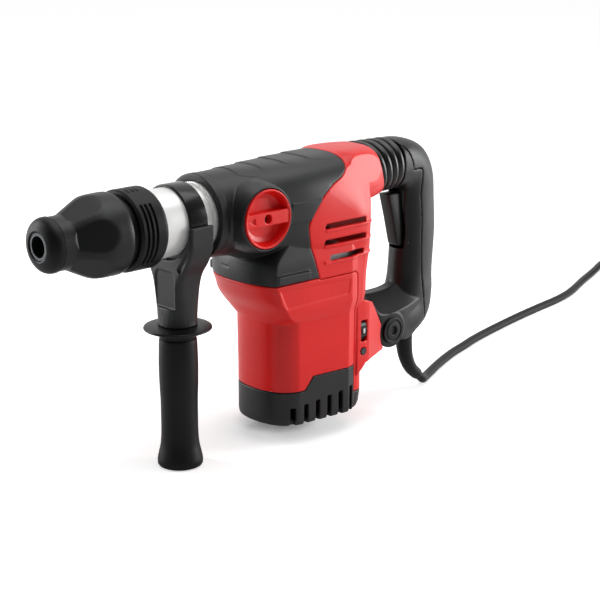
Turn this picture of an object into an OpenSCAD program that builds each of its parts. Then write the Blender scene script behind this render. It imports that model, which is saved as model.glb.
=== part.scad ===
// Rotary hammer: upright motor, crank-driven hammer, side handle and sprung rear handle.
// +X runs forward along the tool axis, +Y is the left side with the mode knob, +Z is up.
// The origin lies on the motor's axis, on the flat underside of the base cap.

/* [Housings] */
// Height of the tool axis above the base
axis_h = 202; // [196:1:210]
// Half width of the housings at their sides
body_w = 48; // [47:0.5:52]
// Height of the roof at its rear end, above the tool axis
roof_h = 41; // [39.5:0.5:44]
// Wall thickness of the plastic housings
wall = 3; // [2.4:0.2:3.4]
// Open seam between neighbouring housings
seam = 0.3; // [0.2:0.1:0.5]
// Height of the joint between gear cover and motor housing
joint_h = 136; // [134:0.5:139]
// Front face of the gear cover, from the motor's axis
rim_x = 111; // [108:0.5:113]
// Radius of the gear cover's front rim
rim_r = 37.5; // [36.5:0.5:40]
// Height of the motor housing's lower edge at the sides
cap_h = 42; // [39:0.5:44]
// Height of the motor housing's lower edge at the front
cap_front_h = 30; // [27:0.5:33]
// Number of side vents in the rear cover
vents = 3; // [2:1:3]
// Number of air slots on each side of the base cap
cap_slots = 6; // [4:1:6]

/* [Motor] */
// Outer radius of the motor housing
motor_r = 45; // [44.5:0.5:48]
// Radius of the rotor core
rotor_r = 24; // [20:0.5:26]
// Air gap between rotor and stator
air_gap = 0.6; // [0.4:0.1:1]
// Height of the room for the fan between the stator core and the bulkhead
fan_room = 32; // [30:1:40]
// Radius of the armature shaft
shaft_r = 5; // [4.5:0.1:5.5]

/* [Gears] */
// Tooth module of the spur gears
spur_m = 1; // [0.9:0.05:1.05]
// Teeth of the armature pinion
pinion_z = 10; // [10:2:12]
// Teeth of the crank gear and of the drive gear
wheel_z = 50; // [46:2:50]
// Tooth module of the bevel gears
bevel_m = 1.7; // [1.6:0.05:1.75]
// Teeth of the bevel pinion
bevel_z1 = 11; // [11:1:12]
// Teeth of the bevel ring
bevel_z2 = 33; // [32:1:34]

/* [Hammer] */
// Radius of the spindle
spindle_r = 18; // [17.5:0.1:18.5]
// Radius of the cylinder bore in the spindle
bore_r = 14.6; // [13.5:0.1:14.8]
// Radius of the tool socket
socket_r = 9.1; // [8.6:0.1:9.4]
// Depth of the tool socket
socket_len = 90; // [84:1:92]
// Radius of the impact bolt's shank
anvil_r = 11; // [10:0.1:11.5]
// Stroke of the piston
stroke = 24; // [18:1:26]

/* [Nose] */
// Front of the nose cap, from the motor's axis
nose_x = 275; // [272:0.5:280]
// Length of the nose cap
nose_len = 12.5; // [11:0.5:14]
// Radius of the nose cap
nose_r = 23.2; // [22:0.2:24]
// Largest radius of the release sleeve
sleeve_r = 35.2; // [34:0.2:36]
// Travel of the release sleeve
release = 6; // [4:0.5:6]
// Radius of the ribbed lock ring
ring_r = 35.4; // [34:0.2:37]
// Length of the ribbed lock ring
ring_len = 29; // [26:0.5:31]
// Radius of the neck collar
collar_r = 30; // [29.5:0.1:30.5]

/* [Side handle] */
// Side handle's axis, in front of the motor's axis
side_x = 132; // [129:0.5:136]
// Width of the clamp strap
strap_w = 19; // [15:0.5:21]
// Thickness of the clamp strap
strap_t = 2.6; // [2:0.1:3]
// Height of the hand guard's upper face
guard_h = 108.7; // [105:0.5:112]
// Radius of the hand guard
guard_r = 30.3; // [28:0.5:34]
// Length of the grip below the guard's upper face
grip_len = 130.5; // [125:0.5:133]
// Radius of the grip at its middle
grip_r = 16.5; // [15:0.5:18.5]

/* [Mode knob] */
// Knob's axis, in front of the motor's axis
knob_x = 68.4; // [66:0.2:70]
// Radius of the knob
knob_r = 26.6; // [25:0.2:27]
// How far the knob stands out from the housings' sides
knob_proud = 1.8; // [1:0.2:4]
// Height of the knob's bar
bar_h = 11.5; // [9:0.5:14]

/* [Rear handle] */
// Pivot behind the motor's axis
pivot_x = 110; // [108:0.5:112]
// Height of the pivot
pivot_h = 60; // [58:0.5:62]
// Grip's centre line behind the motor's axis
post_x = 165.5; // [163:0.5:170]
// Half depth of the grip, front to back
post_a = 24.4; // [22.5:0.2:26]
// Half width of the grip
post_b = 18.3; // [17:0.2:20]
// Width of the trigger
trigger_w = 18; // [14:0.5:20]
// Ribs of the bellows
bellows_ribs = 4; // [3:1:5]

/* [Cord] */
// Diameter of the mains cord
cord_d = 9; // [8:0.1:9.2]
// Turns of the coil in each layer
coil_turns = 2.125; // [1.875:0.25:2.125]
// Inner radius of the coil, to the middle of the cord
coil_r = 39; // [38:0.5:42]
// Free space between neighbouring turns of the coil
coil_gap = 0.6; // [0.5:0.1:1]

/* [Hidden] */
$fn = 64;

// Colours
red = "#d3202a";
charcoal = "#2b2c2e";
black = "#1b1c1e";
rubber = "#161718";
silver = "#d9dbdc";
steel = "#9a9fa3";
copper = "#b36a3a";
cast = "#b4b7b8";

// Clearances
fit = 0.05;       // radial, shaft in bore
run = 0.3;        // between bodies that move past each other
seat = 0.4;       // loose seat of an inner piece in a housing
slab = 0.02;      // thickness of a loft's cross-section
cut = 60;         // reach of a cutter beyond the part

// Profiles and lofts
function raise(v, p) = sign(v) * pow(abs(v), p);
// Closed oval in a cross-section: half width, top, bottom and squareness.
function oval(w, top, bottom, n, k = 24) =
    [for (i = [0:k - 1]) let (a = 360 * (i + 0.5) / k)
        [w * raise(cos(a), 2 / n), (top + bottom) / 2 + (top - bottom) / 2 * raise(sin(a), 2 / n)]];
function arc(c, r, a0, a1, n = 8) =
    [for (i = [0:n]) let (a = a0 + (a1 - a0) * i / n) c + r * [cos(a), sin(a)]];
// Smooth curve through a list of points.
function curve(p, n = 4) = concat(
    [for (i = [0:len(p) - 2], j = [0:n - 1]) let (t = j / n,
        a = p[max(i - 1, 0)], b = p[i], c = p[i + 1], d = p[min(i + 2, len(p) - 1)])
        (2 * b + (c - a) * t + (2 * a - 5 * b + 4 * c - d) * t * t
            + (3 * b - a - 3 * c + d) * t * t * t) / 2],
    [p[len(p) - 1]]);
function mix(a, b, t) = a + (b - a) * t;

// Moves children so that their Z axis lies along the tool axis at x.
module on_axis(x = 0) translate([x, 0, axis_h]) rotate([0, 90, 0]) children();
// Extrudes an outline drawn in side view (x, z) from y0 to y1.
module side(y0, y1) translate([0, y1, 0]) rotate([90, 0, 0]) linear_extrude(y1 - y0) children();
module x_slab(x, points) translate([x, 0, 0]) rotate([90, 0, 90]) linear_extrude(slab) polygon(points);
// Rows of x, half width, top, bottom, squareness.
module x_loft(rows) for (i = [0:len(rows) - 2]) hull() for (r = [rows[i], rows[i + 1]])
    x_slab(r[0], oval(r[1], r[2], r[3], r[4]));
module ring(r_out, r_in, h) difference() {
    cylinder(r = r_out, h = h);
    translate([0, 0, -1]) cylinder(r = r_in, h = h + 2);
}
// Turned piece along the tool axis from points of x and radius.
module turned(points) on_axis() rotate_extrude() polygon([for (p = points) [p[1], p[0]]]);
// Tube along a path of 3D points, with one radius or one for each point.
function unit(v) = v / norm(v);
module tube(path, r, sides) {
    n = len(path);
    tangents = [for (i = [0:n - 1]) unit(path[min(i + 1, n - 1)] - path[max(i - 1, 0)])];
    points = [for (i = [0:n - 1]) let (t = tangents[i], u = unit(cross([0, 0, 1], t)), v = cross(t, u))
        for (k = [0:sides - 1]) let (a = 360 * (k + 0.5) / sides)
            path[i] + (is_list(r) ? r[i] : r) * (cos(a) * u + sin(a) * v)];
    polyhedron(points, concat(
        [[for (k = [0:sides - 1]) k]],
        [for (i = [0:n - 2], k = [0:sides - 1], f = [0, 1]) let (l = (k + 1) % sides, b = i * sides)
            f == 0 ? [b + k, b + sides + k, b + l] : [b + l, b + sides + k, b + sides + l]],
        [[for (k = [sides - 1:-1:0]) (n - 1) * sides + k]]));
}

// Housing lofts. The inset e moves every wall inwards.
roof_front = axis_h + rim_r;
roof_rear = axis_h + roof_h;
rear_x = 76;                         // rear face of the rear cover behind the motor's axis
neck_x = 94;                         // rear end of the neck that carries the bellows
neck_low = axis_h - 9;               // underside of the neck
skirt_x = motor_r + 21;              // front of the skirt above the motor
// The motor housing is round in front and has flat sides that start at a crease
crease = motor_r * [cos(60), sin(60)];
front_full = 0.72 * motor_r;
flank_x = -36;                       // rear end of the flat sides
flank_y = motor_r - 1.2;
skirt_full = 30;                     // the same fullness for the skirt above
function skirt_y(x) = body_w - 0.044 * (x - flank_x);
// Height, front, fullness of the front, corner x and y, half width at the flank's rear end, rear
function upper_rows(e) = [
    [rim_x - 2 * e, rim_r - e, roof_front - e, axis_h - rim_r + e, 2],
    [80, rim_r + 1.5 - e, mix(roof_front, roof_rear, 0.1) - e, axis_h - rim_r - 2 + e, 2.1],
    [48, body_w - 5 - e, mix(roof_front, roof_rear, 0.2) - e, axis_h - rim_r - 12 + e, 2.5],
    [12, body_w - 1 - e, mix(roof_front, roof_rear, 0.4) - e, joint_h + 6 + e, 2.9],
    [-30, body_w - e, mix(roof_front, roof_rear, 0.75) - e, joint_h - 8 + e, 3],
    [-58, body_w - 1 - e, roof_rear - e, joint_h - 8 + e, 3],
    [-70, body_w - 9 - e, roof_rear - e, joint_h - 6 + e, 2.8],
    [-rear_x + e, body_w - 20 - e, roof_rear - e, joint_h - 4 + e, 2.6]];
function neck_rows(e) = [
    [-50, body_w - 4 - e, roof_rear - e, neck_low + e, 2.8],
    [-74, body_w - 11 - e, roof_rear - e, neck_low - 1 + e, 2.8],
    [-neck_x - (e > 0 ? 1 : 0), 31 - e, roof_rear - e, neck_low + e, 2.8]];
function can_row(z, e, rear) = [z, motor_r - e, front_full - 0.75 * e,
    crease.x - 0.5 * e, crease.y - 0.87 * e, flank_y - e, rear];
motor_rows = [
    can_row(0, 4, 57),
    can_row(3, 1.4, 60),
    can_row(9, 0.4, 62),
    can_row(15, 0, 67),
    can_row(cap_h, 0, 68),
    can_row(joint_h - 46, -0.2, 70),
    [joint_h - 39, motor_r + 1.5, front_full, crease.x + 3, crease.y + 2, flank_y + 0.6, 70.5],
    [joint_h - 32, motor_r + 3.4, skirt_full, crease.x + 14.5, crease.y + 4.2, body_w - 1.2, 71],
    [joint_h - 27, motor_r + 6, skirt_full, skirt_x - 24.5, skirt_y(skirt_x - 24.5), body_w, 71.5],
    [joint_h - 18, motor_r + 12, skirt_full, skirt_x - 18, skirt_y(skirt_x - 18), body_w, 73],
    [joint_h - 8, skirt_x - 4, skirt_full, skirt_x - 14.5, skirt_y(skirt_x - 14.5), body_w, 74],
    [joint_h + 1, skirt_x, skirt_full, skirt_x - 11.5, skirt_y(skirt_x - 11.5), body_w, 75],
    [joint_h + 16, skirt_x, skirt_full, skirt_x - 11.5, skirt_y(skirt_x - 11.5), body_w, 75.5],
    [joint_h + 24, skirt_x - 3, skirt_full - 1, skirt_x - 16, body_w - 5, body_w - 0.5, 75.5],
    [joint_h + 38, skirt_x - 18, skirt_full - 3, skirt_x - 32, body_w - 7, body_w - 3, 75.5]];
rear_round = 9;
function plan(r) = let (half = concat(
        [for (i = [0:6]) let (t = i / 6)
            [r[1] * (1 - t * t) + r[3] * t * t, 2 * r[2] * t * (1 - t) + r[4] * t * t]],
        [[flank_x, r[5]], [flank_x - 9.5, r[5] - 2.6]],
        arc([rear_round - r[6], r[5] - 4.2 - rear_round], rear_round, 90, 180, 3)))
    concat(half, [for (i = [len(half) - 1:-1:1]) [half[i].x, -half[i].y]]);
module plan_slab(r, e) linear_extrude(slab) offset(delta = -e) polygon(plan(r));
module motor_loft(e) for (i = [0:len(motor_rows) - 2]) hull() for (r = [motor_rows[i], motor_rows[i + 1]])
    translate([0, 0, e > 0 ? max(r[0], wall) : r[0]]) plan_slab(r, e);
module body_solid(e) {
    x_loft(upper_rows(e));
    x_loft(neck_rows(e));
    motor_loft(e);
}
module body_shell() difference() {
    body_solid(0);
    body_solid(wall);
}

// Seams in side view (x, z)
seam_x = -46;                        // rear edge of the motor housing
wave = curve([[4, joint_h], [11, 158], [17, 180], [17, 188], [11, 198], [0, 210], [-14, 219],
    [-27, 224], [-35, 230], [-38.5, 238], [-38.5, 260]], 3);
cap_edge = [[seam_x, cap_h], [6, cap_h], [16, cap_front_h], [120, cap_front_h]];
module gear_region() polygon(concat(wave, [[130, 260], [130, joint_h]]));
module motor_region() polygon(concat(cap_edge, [[120, joint_h], [4, joint_h]],
    [[4, joint_h - 1.5]], arc([seam_x + 6, joint_h - 7.5], 6, 90, 180, 5)));
module cap_region() polygon(concat([[-80, -1], [-80, 15], [seam_x, 15]], cap_edge, [[120, -1]]));
module within() intersection() {
    body_shell();
    side(-cut, cut) offset(delta = -seam / 2) children();
}

// Pivot of the rear handle
arm_r = 17.5;                        // round end of the handle's cheeks
tongue_w = 21.3;                     // half width of the tongue between the cheeks
cheek_w = 28;                        // outer face of the cheeks
bolt_r = 6;
bush_r = 9;
pivot = [-pivot_x, pivot_h];
module at_pivot(y0, y1, r) translate([-pivot_x, y1, pivot_h]) rotate([90, 0, 0])
    cylinder(r = r, h = y1 - y0, $fn = 40);
arm_top = [pivot.x + 32, pivot.y + 37];     // where the arm's upper edge meets the rear face

// Speed dial
dial_r = 13;
dial_w = 7;
dial = [-59, flank_y - dial_r - 2.8, 72.5];
lens = [-58, flank_y - 4.6, 52.6];
lens_r = 3.3;

// Mode knob
knob_out = body_w + knob_proud;
boss_r = knob_r + 7.4;
boss_out = knob_out - 3.3;
knob_in = knob_out - 11.3;
stub_r = 5;
module at_knob(y) translate([knob_x, y, axis_h - 1]) rotate([-90, 0, 0]) children();

module gear_cover() color(charcoal) difference() {
    union() {
        within() gear_region();
        on_axis(rim_x - 7) ring(rim_r, collar_r + 1 + seat, 7);
        intersection() {
            at_knob(collar_r + 4.5) cylinder(r1 = boss_r + 2, r2 = boss_r, h = boss_out - collar_r - 4.5);
            side(0, cut) offset(delta = -seam) gear_region();
        }
    }
    on_axis(rim_x - 20) cylinder(r = collar_r + 1 + seat, h = 40);
    at_knob(knob_in - run) cylinder(r = knob_r + run, h = cut);
    at_knob(0) cylinder(r = stub_r + run, h = cut, $fn = 24);
}

vent_h = 5;
vent_step = 15;
module rear_cover() color(red) difference() {
    union() {
        difference() {
            body_shell();
            side(-cut, cut) offset(delta = seam / 2) union() {
                gear_region();
                motor_region();
                cap_region();
            }
        }
        difference() {
            arm();
            body_solid(wall);
        }
    }
    // Side vents
    for (i = [0:vents - 1], s = [-1, 1]) translate([-50, s * body_w, axis_h - 22 - i * vent_step])
        translate([0, -8, 0]) cube([i < 2 ? 49 : 42, 16, vent_h]);
    // Dial and lens
    translate([dial.x - dial_w / 2 - run, dial.y - dial_r - 1, dial.z - dial_r - 1])
        cube([dial_w + 2 * run, 2 * dial_r - 3, 2 * dial_r + 2]);
    translate([dial.x - dial_w / 2 - run, dial.y + dial_r - 5, dial.z - 9.5])
        cube([dial_w + 2 * run, 20, 19]);
    translate([lens.x, lens.y - 8, lens.z]) rotate([-90, 0, 0])
        cylinder(r = lens_r + 2 * fit, h = 20, $fn = 24);
    at_pivot(-cut, cut, bolt_r + 4 * fit);
    // Mouth of the neck
    translate([-neck_x - 2, 0, 0]) x_loft([[0, 31 - wall, roof_rear - wall, neck_low + wall, 2.8],
        [6, 31 - wall, roof_rear - wall, neck_low + wall, 2.8]]);
}
// Lower arm that carries the rear handle's pivot
module arm() {
    intersection() {
        side(-cut, cut) polygon(concat([[-56, arm_top.y + 8], [arm_top.x + 5, arm_top.y]],
            arc(pivot, arm_r + 1.2, 32, -68, 10), [[-78, pivot_h - 24], [-71, 29], [-69, 20], [-56, 20]]));
        linear_extrude(axis_h) polygon([[-50, flank_y - 3], [-66, flank_y - 3.6], [-pivot_x + 13, cheek_w],
            [-pivot_x - 4, cheek_w - 3], [-pivot_x - 4, 3 - cheek_w], [-pivot_x + 13, -cheek_w],
            [-66, 3.6 - flank_y], [-50, 3 - flank_y]]);
    }
    at_pivot(-tongue_w, tongue_w, arm_r - 2);
    translate([-pivot_x, -tongue_w, pivot_h - 13]) cube([20, 2 * tongue_w, 26]);
}

module motor_housing() color(red) within() motor_region();

bearing_r = 11;
slot_w = 4;
slot_step = 13.2;
module base_cap() color(charcoal) difference() {
    union() {
        within() cap_region();
        translate([0, 0, wall - 1]) cylinder(r = bearing_r + 3, h = 11, $fn = 32);
    }
    translate([0, 0, wall]) cylinder(r = bearing_r + seat, h = 20, $fn = 32);
    for (i = [0:cap_slots - 1], s = [-1, 1])
        translate([29 - i * slot_step - slot_w / 2, s * (motor_r - 4) - 8, -1]) cube([slot_w, 16, 18]);
}

// Motor, on the Z axis
stator_z = cap_h + 2;
// Radius of the room between the flat sides
can_room = cross([flank_x, flank_y] - crease, -crease) / norm([flank_x, flank_y] - crease) - wall - seat;
plate_z = joint_h - 10;
plate_t = 6;
stator_top = plate_z - fan_room;
stator_len = stator_top - stator_z;
fan_z = stator_top + 11;
gear_z = plate_z + plate_t + 3;
module stator_core() color(steel) translate([0, 0, stator_z])
    ring(can_room, rotor_r + air_gap, stator_len);
module field_windings() color(copper) for (z = [stator_z - 8, stator_top]) translate([0, 0, z])
    ring(rotor_r + 12, rotor_r + 2, 8);
module motor_bearings() color(steel) {
    translate([0, 0, wall + 1]) ring(bearing_r, shaft_r - 1, 8);
    translate([0, 0, plate_z - 8]) ring(bearing_r + 2, shaft_r, 8);
}
module armature_shaft() color(steel) {
    translate([0, 0, wall + 0.5]) cylinder(r = shaft_r - 1 - fit / 2, h = 9.5);
    translate([0, 0, wall + 10]) cylinder(r = shaft_r - fit / 2, h = gear_z - wall - 10.5);
}
pinion_h = 10;
module rotor_core() color(steel) difference() {
    union() {
        translate([0, 0, stator_z]) cylinder(r = rotor_r, h = stator_len);
        translate([0, 0, stator_z - 7]) cylinder(r1 = rotor_r - 8, r2 = rotor_r - 2, h = 7);
        translate([0, 0, stator_top]) cylinder(r1 = rotor_r - 2, r2 = rotor_r - 8, h = 7);
    }
    cylinder(r = shaft_r, h = axis_h);
}
comm_z = 17;
comm_h = stator_z - 8 - comm_z;
comm_r = 12;
module commutator() color(copper) translate([0, 0, comm_z]) ring(comm_r, shaft_r, comm_h);
brush = [6, 10, 8];
brush_z = comm_z + comm_h / 2;
brush_end = can_room - 5;
module carbon_brushes() color(black) for (s = [0, 180]) rotate([0, 0, s])
    translate([-brush.x / 2, comm_r + fit, brush_z - brush.z / 2])
        cube([brush.x, brush_end - comm_r - 8, brush.z]);
module brush_holders() color(cast) for (s = [0, 180]) rotate([0, 0, s]) difference() {
    translate([-brush.x / 2 - 2, comm_r + 3, brush_z - brush.z / 2 - 2])
        cube([brush.x + 4, can_room - seat - comm_r - 3, brush.z + 4]);
    translate([-brush.x / 2 - fit, comm_r, brush_z - brush.z / 2 - fit])
        cube([brush.x + 2 * fit, brush_end - comm_r, brush.z + 2 * fit]);
}
fan_r = motor_r - 9;
fan_blades = 12;
module fan() color(charcoal) translate([0, 0, fan_z]) difference() {
    union() {
        cylinder(r = fan_r, h = 2);
        cylinder(r = shaft_r + 4, h = 9);
        for (i = [0:fan_blades - 1]) rotate([0, 0, 360 * i / fan_blades])
            translate([shaft_r + 3, -0.8, 1]) cube([fan_r - shaft_r - 3.5, 1.6, 7]);
    }
    translate([0, 0, -1]) cylinder(r = shaft_r, h = 20);
}

// Spur gears: involute teeth, pressure angle 25 degrees
press = 25;
backlash = 0.3;
gear_h = 8;
function roll(r, rb) = let (t = sqrt(max(0, pow(r / rb, 2) - 1))) t * 180 / PI - atan(t);
// Half angle of a tooth at radius r, from its pitch radius rp
function tooth_half(r, rp, m, z) = 90 / z - backlash / 2 / rp * 90 / PI
    + roll(rp, rp * cos(press)) - roll(r, rp * cos(press));
function tooth(rp, m, z, rf, ra, steps) = let (r0 = max(rf, rp * cos(press) + 0.001))
    concat([[rf, -tooth_half(r0, rp, m, z)]],
        [for (j = [0:steps]) let (r = mix(r0, ra, j / steps)) [r, -tooth_half(r, rp, m, z)]],
        [for (j = [steps:-1:0]) let (r = mix(r0, ra, j / steps)) [r, tooth_half(r, rp, m, z)]],
        [[rf, tooth_half(r0, rp, m, z)]]);
module spur(z, m, h, phase, bore) linear_extrude(h) difference() {
    polygon([for (i = [0:z - 1], p = tooth(z * m / 2, m, z, z * m / 2 - 1.2 * m, z * m / 2 + 0.85 * m, 2))
        let (a = 360 * i / z + phase + p[1]) p[0] * [cos(a), sin(a)]]);
    if (bore > 0) circle(r = bore, $fn = 12);
}
wheel_off = spur_m * (pinion_z + wheel_z) / 2;
hub_r = 8;
module pinion() color(steel) translate([0, 0, gear_z - 0.5]) spur(pinion_z, spur_m, pinion_h, 0, 0);
module crank_gear() color(steel) translate([-wheel_off, 0, gear_z])
    spur(wheel_z, spur_m, gear_h, 180 / wheel_z, hub_r);
module drive_gear() color(steel) translate([wheel_off, 0, gear_z])
    spur(wheel_z, spur_m, gear_h, 180 / wheel_z, hub_r);

// Shafts of the two wheels
journal_r = 6;
case_z = gear_z + gear_h + 4;
case_t = 8;
seat_r = 13;
disc_z = case_z + case_t + 6;
disc_h = 7;
crank_e = stroke / 2;
disc_r = crank_e + 7;
hub_flat = hub_r * cos(15) - 0.1;     // hub fits inside the twelve-sided bore
module wheel_shaft(top) {
    translate([0, 0, plate_z + 1]) cylinder(r = journal_r - fit / 2, h = gear_z - plate_z - 1);
    translate([0, 0, gear_z]) cylinder(r = hub_flat, h = gear_h);
    translate([0, 0, gear_z + gear_h]) cylinder(r = journal_r - fit / 2, h = top - gear_z - gear_h);
}
module crankshaft() color(steel) translate([-wheel_off, 0, 0]) {
    wheel_shaft(disc_z);
    translate([0, 0, disc_z]) cylinder(r = disc_r, h = disc_h);
}
module countershaft() color(steel) translate([wheel_off, 0, 0]) {
    wheel_shaft(bevel_back - bevel_hub);
    translate([0, 0, bevel_back - bevel_hub]) cylinder(r = bevel_bore * 0.96, h = bevel_face + 2);
}
module gear_bearings() color(cast) for (s = [-1, 1]) translate([s * wheel_off, 0, 0]) {
    translate([0, 0, plate_z + 1]) ring(journal_r + 3, journal_r, plate_t - 1);
    translate([0, 0, case_z]) ring(seat_r, journal_r, case_t);
}

// Bevel gears: straight teeth on pitch cones that meet at [wheel_off, 0, axis_h]
bevel_r1 = bevel_m * bevel_z1 / 2;
bevel_r2 = bevel_m * bevel_z2 / 2;
cone = norm([bevel_r1, bevel_r2]);
bevel_face = 8;
bevel_bore = 4.5;
bevel_hub = 3;
bevel_back = axis_h - bevel_r2;
module bevel(r, delta, z, phase, bore) {
    rv = r / cos(delta);
    teeth = [for (i = [0:z - 1],
            p = tooth(rv, bevel_m, z / cos(delta), rv - 1.2 * bevel_m, rv + 0.85 * bevel_m, 1))
        [p[0], 360 * i / z + phase + p[1] / cos(delta)]];
    n = len(teeth);
    small = (cone - bevel_face) / cone;
    function on_back(p, k, rr) =
        let (a = p[1]) [rr * cos(a), rr * sin(a), k * (cone / cos(delta) - p[0] * sin(delta))];
    // Four loops: teeth at the large end, teeth at the small end, bore there and bore at the back
    flat_small = small * (cone / cos(delta) - rv * sin(delta));
    flat_back = cone / cos(delta) - rv * sin(delta);
    points = concat(
        [for (p = teeth) on_back(p, 1, p[0] * cos(delta))],
        [for (p = teeth) on_back(p, small, small * p[0] * cos(delta))],
        [for (p = teeth) [bore * cos(p[1]), bore * sin(p[1]), flat_small]],
        [for (p = teeth) [bore * cos(p[1]), bore * sin(p[1]), flat_back + bevel_hub]]);
    polyhedron(points, [for (l = [0:3], i = [0:n - 1], f = [0, 1])
        let (j = (i + 1) % n, a = l * n, b = ((l + 1) % 4) * n)
        f == 0 ? [a + i, a + j, b + i] : [a + j, b + j, b + i]]);
}
module bevel_pinion() color(steel) translate([wheel_off, 0, axis_h]) rotate([180, 0, 0])
    bevel(bevel_r1, atan(bevel_r1 / bevel_r2), bevel_z1, 0, bevel_bore);
module bevel_ring() color(steel) translate([wheel_off, 0, axis_h]) rotate([0, 90, 0])
    bevel(bevel_r2, atan(bevel_r2 / bevel_r1), bevel_z2, 180 / bevel_z2, spindle_r + 0.1);

// Bulkhead over the motor, and the case that carries the shafts and the spindle
function row_at(z) = [for (i = [0:len(motor_rows) - 2]) let (a = motor_rows[i], b = motor_rows[i + 1])
    if (z >= a[0] && z < b[0]) mix(a, b, (z - a[0]) / (b[0] - a[0]))][0];
case_x = wheel_off + 22;
case_w = body_w - 12;
post_r = 5;
posts = [for (x = [-case_x + post_r, case_x - post_r], y = [-1, 1]) [x, y * (case_w - post_r)]];
module gear_plate() color(cast) difference() {
    union() {
        translate([0, 0, plate_z]) linear_extrude(plate_t) offset(delta = -wall - seat)
            polygon(plan(row_at(plate_z)));
        translate([0, 0, plate_z - 8]) cylinder(r = bearing_r + 6, h = 9);
    }
    translate([0, 0, plate_z - 9]) cylinder(r = bearing_r + 2 + fit, h = 9);
    translate([0, 0, plate_z - 9]) cylinder(r = shaft_r + 3, h = 30);
    for (s = [-1, 1]) translate([s * wheel_off, 0, plate_z + 1]) cylinder(r = journal_r + 3 + fit, h = 20);
    for (p = posts) translate([p.x, p.y, plate_z - 1]) cylinder(r = screw_r + fit, h = 20);
}
rear_web = 8;
web_t = 10;
web_w = 20;
front_web = case_x - web_t + 4;
spindle_x = rear_web + 0.5;
rear_seat_r = spindle_r + 5;
module gear_case() color(cast) difference() {
    union() {
        translate([0, 0, case_z]) linear_extrude(case_t) polygon([[-case_x, -case_w], [front_web, -case_w],
            [front_web + web_t, 10 - case_w], [front_web + web_t, case_w - 10], [front_web, case_w],
            [-case_x, case_w]]);
        for (p = posts) translate([p.x, p.y, plate_z + plate_t])
            cylinder(r = post_r, h = case_z - plate_z - plate_t);
        for (x = [rear_web, front_web]) {
            on_axis(x) cylinder(r = rim_r - 4.5, h = web_t);
            translate([x, -web_w, case_z]) cube([web_t, 2 * web_w, axis_h - case_z]);
        }
    }
    for (s = [-1, 1]) translate([s * wheel_off, 0, case_z - 1]) cylinder(r = seat_r + fit, h = case_t + 2);
    on_axis(rear_web - 1) cylinder(r = rear_seat_r + fit, h = web_t + 2);
    on_axis(front_web - 1) cylinder(r = collar_r + fit, h = web_t + 2);
    for (p = posts) translate([p.x, p.y, plate_z]) cylinder(r = screw_r + fit, h = 40);
}
screw_r = 2.5;
screw_head = 4.2;
module case_screws() color(steel) for (p = posts) translate([p.x, p.y, 0]) {
    translate([0, 0, plate_z + 0.5]) cylinder(r = screw_r, h = case_z + case_t - plate_z - 0.5);
    translate([0, 0, case_z + case_t]) cylinder(r = screw_head, h = 3);
}

// Neck, spindle and nose, turned about the tool axis
sleeve_len = 60.5;
ring_front = nose_x - nose_len - sleeve_len - release - 1;
ring_rear = ring_front - ring_len;
collar_end = ring_rear - 0.5;
collar_in = collar_r - 3;
bearing_x = collar_end - 24;
seal_x = collar_end - 8;
module neck_collar() color(silver) turned([[front_web, collar_in], [collar_end, collar_in],
    [collar_end, collar_r],
    [rim_x + 2, collar_r], [rim_x + 2, collar_r + 1], [rim_x - 8, collar_r + 1], [rim_x - 8, collar_r],
    [front_web, collar_r]]);
module front_bearing() color(steel) {
    on_axis(bearing_x) ring(collar_in - fit, spindle_r + fit, 14);
    on_axis(rear_web) ring(rear_seat_r, spindle_r + fit, web_t);
}
module front_seal() color(rubber) on_axis(seal_x) ring(collar_in - fit, spindle_r + fit, 6);

socket_end = nose_x - 1;
anvil_x = socket_end - socket_len;     // rear end of the tool socket
cyl_end = anvil_x - 34;                // front end of the cylinder bore
tip_r = socket_r + 2.4;
tip_x = nose_x - 6;
seat_x = nose_x - nose_len - 4;        // where the spindle narrows for the nose cap
bar_len = 20;
bar_x = ring_front + 16;
bar_r = 3.4;
module spindle() color(steel) difference() {
    turned([[spindle_x, bore_r], [cyl_end, bore_r], [cyl_end, anvil_r + 0.2], [anvil_x, anvil_r + 0.2],
        [anvil_x, socket_r], [socket_end, socket_r], [socket_end, tip_r], [tip_x, tip_r],
        [tip_x, tip_r + 3],
        [seat_x, tip_r + 3], [seat_x, spindle_r], [spindle_x, spindle_r]]);
    for (s = [-1, 1]) translate([bar_x - 1, s * (spindle_r + 2.5) - 10, axis_h - bar_r - 0.2])
        cube([bar_len + 2, 20, 2 * bar_r + 0.4]);
}
module locking_bars() color(steel) for (s = [-1, 1])
    translate([bar_x, s * (spindle_r - bar_r - 0.3), axis_h]) rotate([0, 90, 0])
        cylinder(r = bar_r, h = bar_len);
module nose_cap() color(rubber) turned(concat(
    [[nose_x - nose_len, nose_r - 1.5], [nose_x - nose_len + 2, nose_r], [nose_x - 8, nose_r]],
    [for (p = arc([nose_x - 8, nose_r - 8], 8, 80, 20, 5)) [p.x, p.y]],
    [[nose_x, nose_r - 8], [nose_x, tip_r + fit], [tip_x + fit, tip_r + fit],
    [tip_x + fit, tip_r + 3 + fit],
        [nose_x - nose_len, tip_r + 3 + fit]]));
cavity_r = 31;                         // rear cavity of the sleeve, round the lock ring's boss
boss_x = ring_front + release + 9;
groove = 1.6;
groove_x = [for (i = [0:2]) ring_rear + ring_len * (0.42 + 0.14 * i)];
ring_pads = 3;                         // plain pads between the grooves
pad_arc = 28;
first_pad = 60;                        // from the left side upwards
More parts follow.
